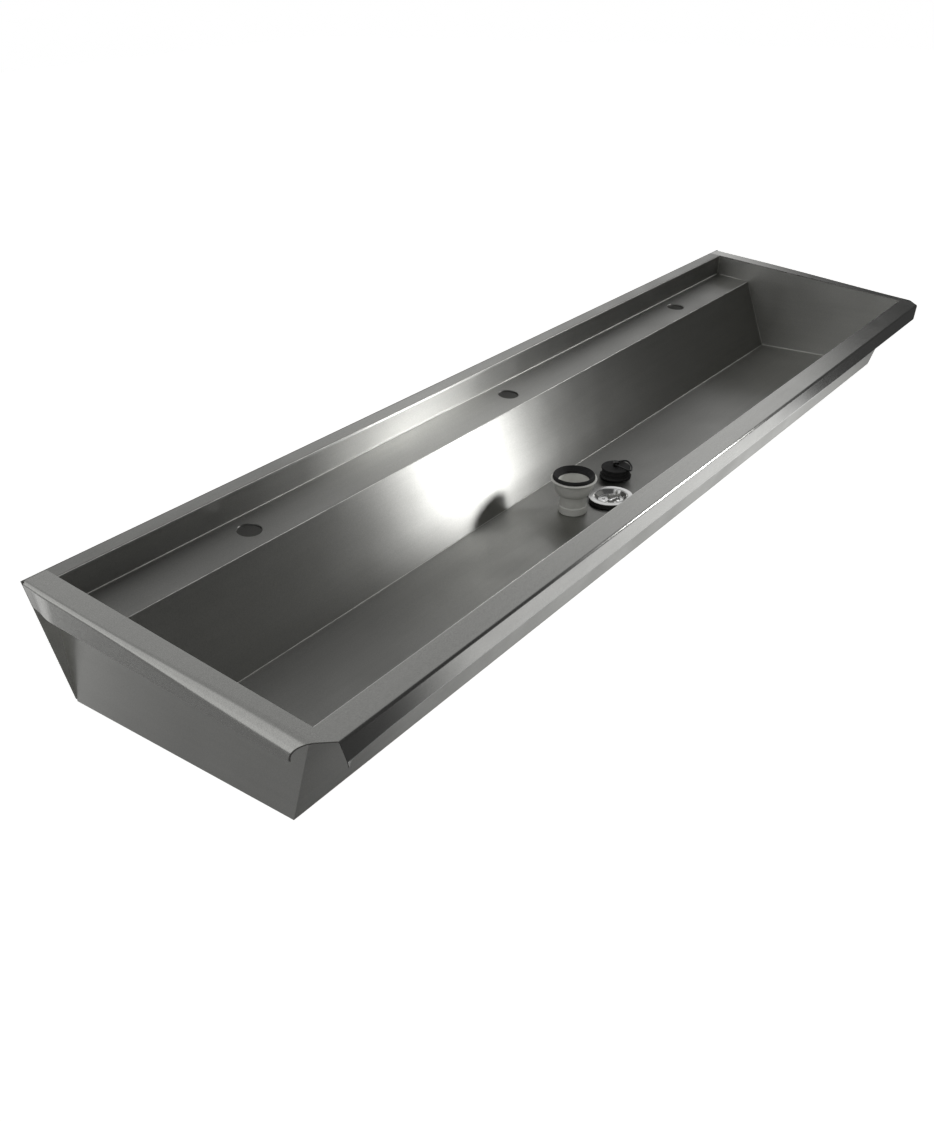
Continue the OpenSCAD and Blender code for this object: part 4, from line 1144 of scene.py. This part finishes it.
class SINK_OT_plug(bpy.types.Operator):
    """Makes the rubber plug and its pull ring"""
    bl_idname = "sink.plug"
    bl_label = "Plug"

    def execute(self, context):
        waste = context.scene.sink_waste
        place = on_rear_facet(waste.plug_x, waste.plug_back)
        plug = lathe("moulded_plug", fillet([
            (0, 0, 0), (25.8, 0, 0.5), (27, 1.2, 0.8), (27, 3.3, 0.8), (25.8, 4.5, 0.6), (22.6, 4.5, 0.6),
            (22.6, 8.4, 0.6), (23.8, 9.7, 0.8), (22.6, 11, 0.6), (22.6, 15, 0.5), (24.4, 15, 0.4),
            (PLUG_DISC_R, 15.6, 0.5), (PLUG_DISC_R, 17.4, 0.6), (24.4, PLUG_H, 0.5), (0, PLUG_H, 0)], 0.5, 5))
        settle(plug, place, 40, "plug", "black_rubber", "black_rubber", "plug_body")
        settle(self.pull_ring(), place, 40, "ring", "black_plastic", "black_polypropylene", "pull_ring")
        return {"FINISHED"}

    def pull_ring(self):
        """A rounded bar that runs round the ring, closed by its pin."""
        corner = PULL_REACH * 0.83
        slope = (PULL_HALF_W - PULL_NECK) / corner
        heel = PULL_NECK + PULL_HEEL * slope
        centre = self.inset([(PULL_HEEL, -heel), (corner, -PULL_HALF_W), (PULL_REACH, 0),
                             (corner, PULL_HALF_W), (PULL_HEEL, heel)], PULL_BAR_W / 2)
        # The bar's ends close on the pin
        end_x, end_y = -1.6, -centre[0].y + 0.15
        track = fillet([(end_x, -end_y), (*centre[1], PULL_CORNER_R), (centre[2].x, 0, PULL_FRONT_R),
                        (*centre[3], PULL_CORNER_R), (end_x, end_y)], PULL_CORNER_R, 10, closed=False)
        path = object_mesh("pull_ring_bar", [(p.x, p.y, 0) for p in track], [],
                           [(k, k + 1) for k in range(len(track) - 1)])
        run_geometry_nodes(path, self.bar_tree(), {
            "Width": PULL_BAR_W * MM, "Thickness": PULL_BAR_H * MM,
            "Material": finish_named("black_polypropylene")})
        pin = lathe("pin", fillet([
            (0, -PIN_HALF_L, 0), (PIN_R, -PIN_HALF_L, 0.3), (PIN_R, PIN_HALF_L, 0.3), (0, PIN_HALF_L, 0)],
            0.3, 3), 24)
        transformed(pin, Matrix.Rotation(math.pi / 2, 4, "X"))
        work = bmesh.new()
        work.from_mesh(path.data)
        work.from_mesh(pin.data)
        work.to_mesh(path.data)
        work.free()
        bpy.data.objects.remove(pin)
        # Where the bar crosses the disc's edge, which it rests on
        steep = 1 + slope * slope
        inner = PULL_NECK - PULL_BAR_W * math.sqrt(steep)
        rest = (math.sqrt(PLUG_DISC_R ** 2 * steep - inner * inner) - slope * inner) / steep
        lean = math.asin((PIN_LIFT - PULL_BAR_H / 2 - REST_GAP) / rest)
        return transformed(path, Matrix.Rotation(PULL_TURN, 4, "Z")
                           @ Matrix.Translation((0, 0, (PLUG_H + PIN_LIFT) * MM))
                           @ Matrix.Rotation(lean, 4, "Y"))

    def inset(self, path, far):
        """The open path moved in by far, towards the middle of the ring."""
        points = [Vector(p) for p in path]
        out = []
        for i, b in enumerate(points):
            before = points[i - 1] if i else None
            after = points[i + 1] if i + 1 < len(points) else None
            n1 = left_of(unit(b - before)) if before else None
            n2 = left_of(unit(after - b)) if after else None
            if n1 is None or n2 is None:
                out.append(b + (n1 or n2) * far)
            else:
                out.append(b + (n1 + n2) / (1 + n1.dot(n2)) * far)
        return out

    def bar_tree(self):
        """Sweeps a rounded bar along a path."""
        tree, given, result = geometry_tree("ring_bar", [
            ("Width", "NodeSocketFloat"), ("Thickness", "NodeSocketFloat"),
            ("Material", "NodeSocketMaterial")])
        curve = add_node(tree, "GeometryNodeMeshToCurve", {"Mesh": given.outputs["Geometry"]})
        shape = add_node(tree, "GeometryNodeCurvePrimitiveQuadrilateral", {
            "Width": given.outputs["Width"], "Height": given.outputs["Thickness"]})
        rounding = add_node(tree, "ShaderNodeMath", {
            0: given.outputs["Thickness"], 1: 0.3}, operation="MULTIPLY")
        soft = add_node(tree, "GeometryNodeFilletCurve", {
            "Curve": shape, "Radius": rounding, "Count": 4}, mode="POLY")
        bar = add_node(tree, "GeometryNodeCurveToMesh", {
            "Curve": curve, "Profile Curve": soft, "Fill Caps": True})
        return painted_tree(tree, given, result, bar)


class SINK_PT_panel(bpy.types.Panel):
    """Lists the sizes, the colours and the pieces"""
    bl_idname = "SINK_PT_panel"
    bl_label = "Trough sink"
    bl_space_type = "VIEW_3D"
    bl_region_type = "UI"
    bl_category = "Trough sink"

    def draw(self, context):
        scene = context.scene
        for group in (scene.sink_sizes, scene.sink_waste, scene.sink_colours, scene.sink_light):
            box = self.layout.box()
            for key in group.bl_rna.properties.keys():
                if key not in ("rna_type", "name"):
                    box.prop(group, key)
        for operator in OPERATORS:
            self.layout.operator(operator.bl_idname)


OPERATORS = (SINK_OT_stage, SINK_OT_sheet_metal, SINK_OT_end_rims, SINK_OT_front_rim, SINK_OT_weld_seams,
             SINK_OT_strainer, SINK_OT_centre_screw, SINK_OT_waste_tail, SINK_OT_plug)
GROUPS = {"sink_sizes": TroughSizes, "sink_waste": WasteSizes, "sink_colours": FinishColours,
          "sink_light": StageLight}


def register():
    """Adds the sizes, the pieces and the panel to Blender."""
    for group in GROUPS.values():
        bpy.utils.register_class(group)
    for name, group in GROUPS.items():
        setattr(bpy.types.Scene, name, bpy.props.PointerProperty(type=group))
    for made in (*OPERATORS, SINK_PT_panel):
        bpy.utils.register_class(made)


def unregister():
    """Takes them away again."""
    for made in (SINK_PT_panel, *reversed(OPERATORS)):
        bpy.utils.unregister_class(made)
    for name in GROUPS:
        delattr(bpy.types.Scene, name)
    for group in reversed(list(GROUPS.values())):
        bpy.utils.unregister_class(group)


def main():
    """Builds every piece in order."""
    register()
    for operator in OPERATORS:
        family, name = operator.bl_idname.split(".")
        getattr(getattr(bpy.ops, family), name)()


if __name__ == "__main__":
    main()
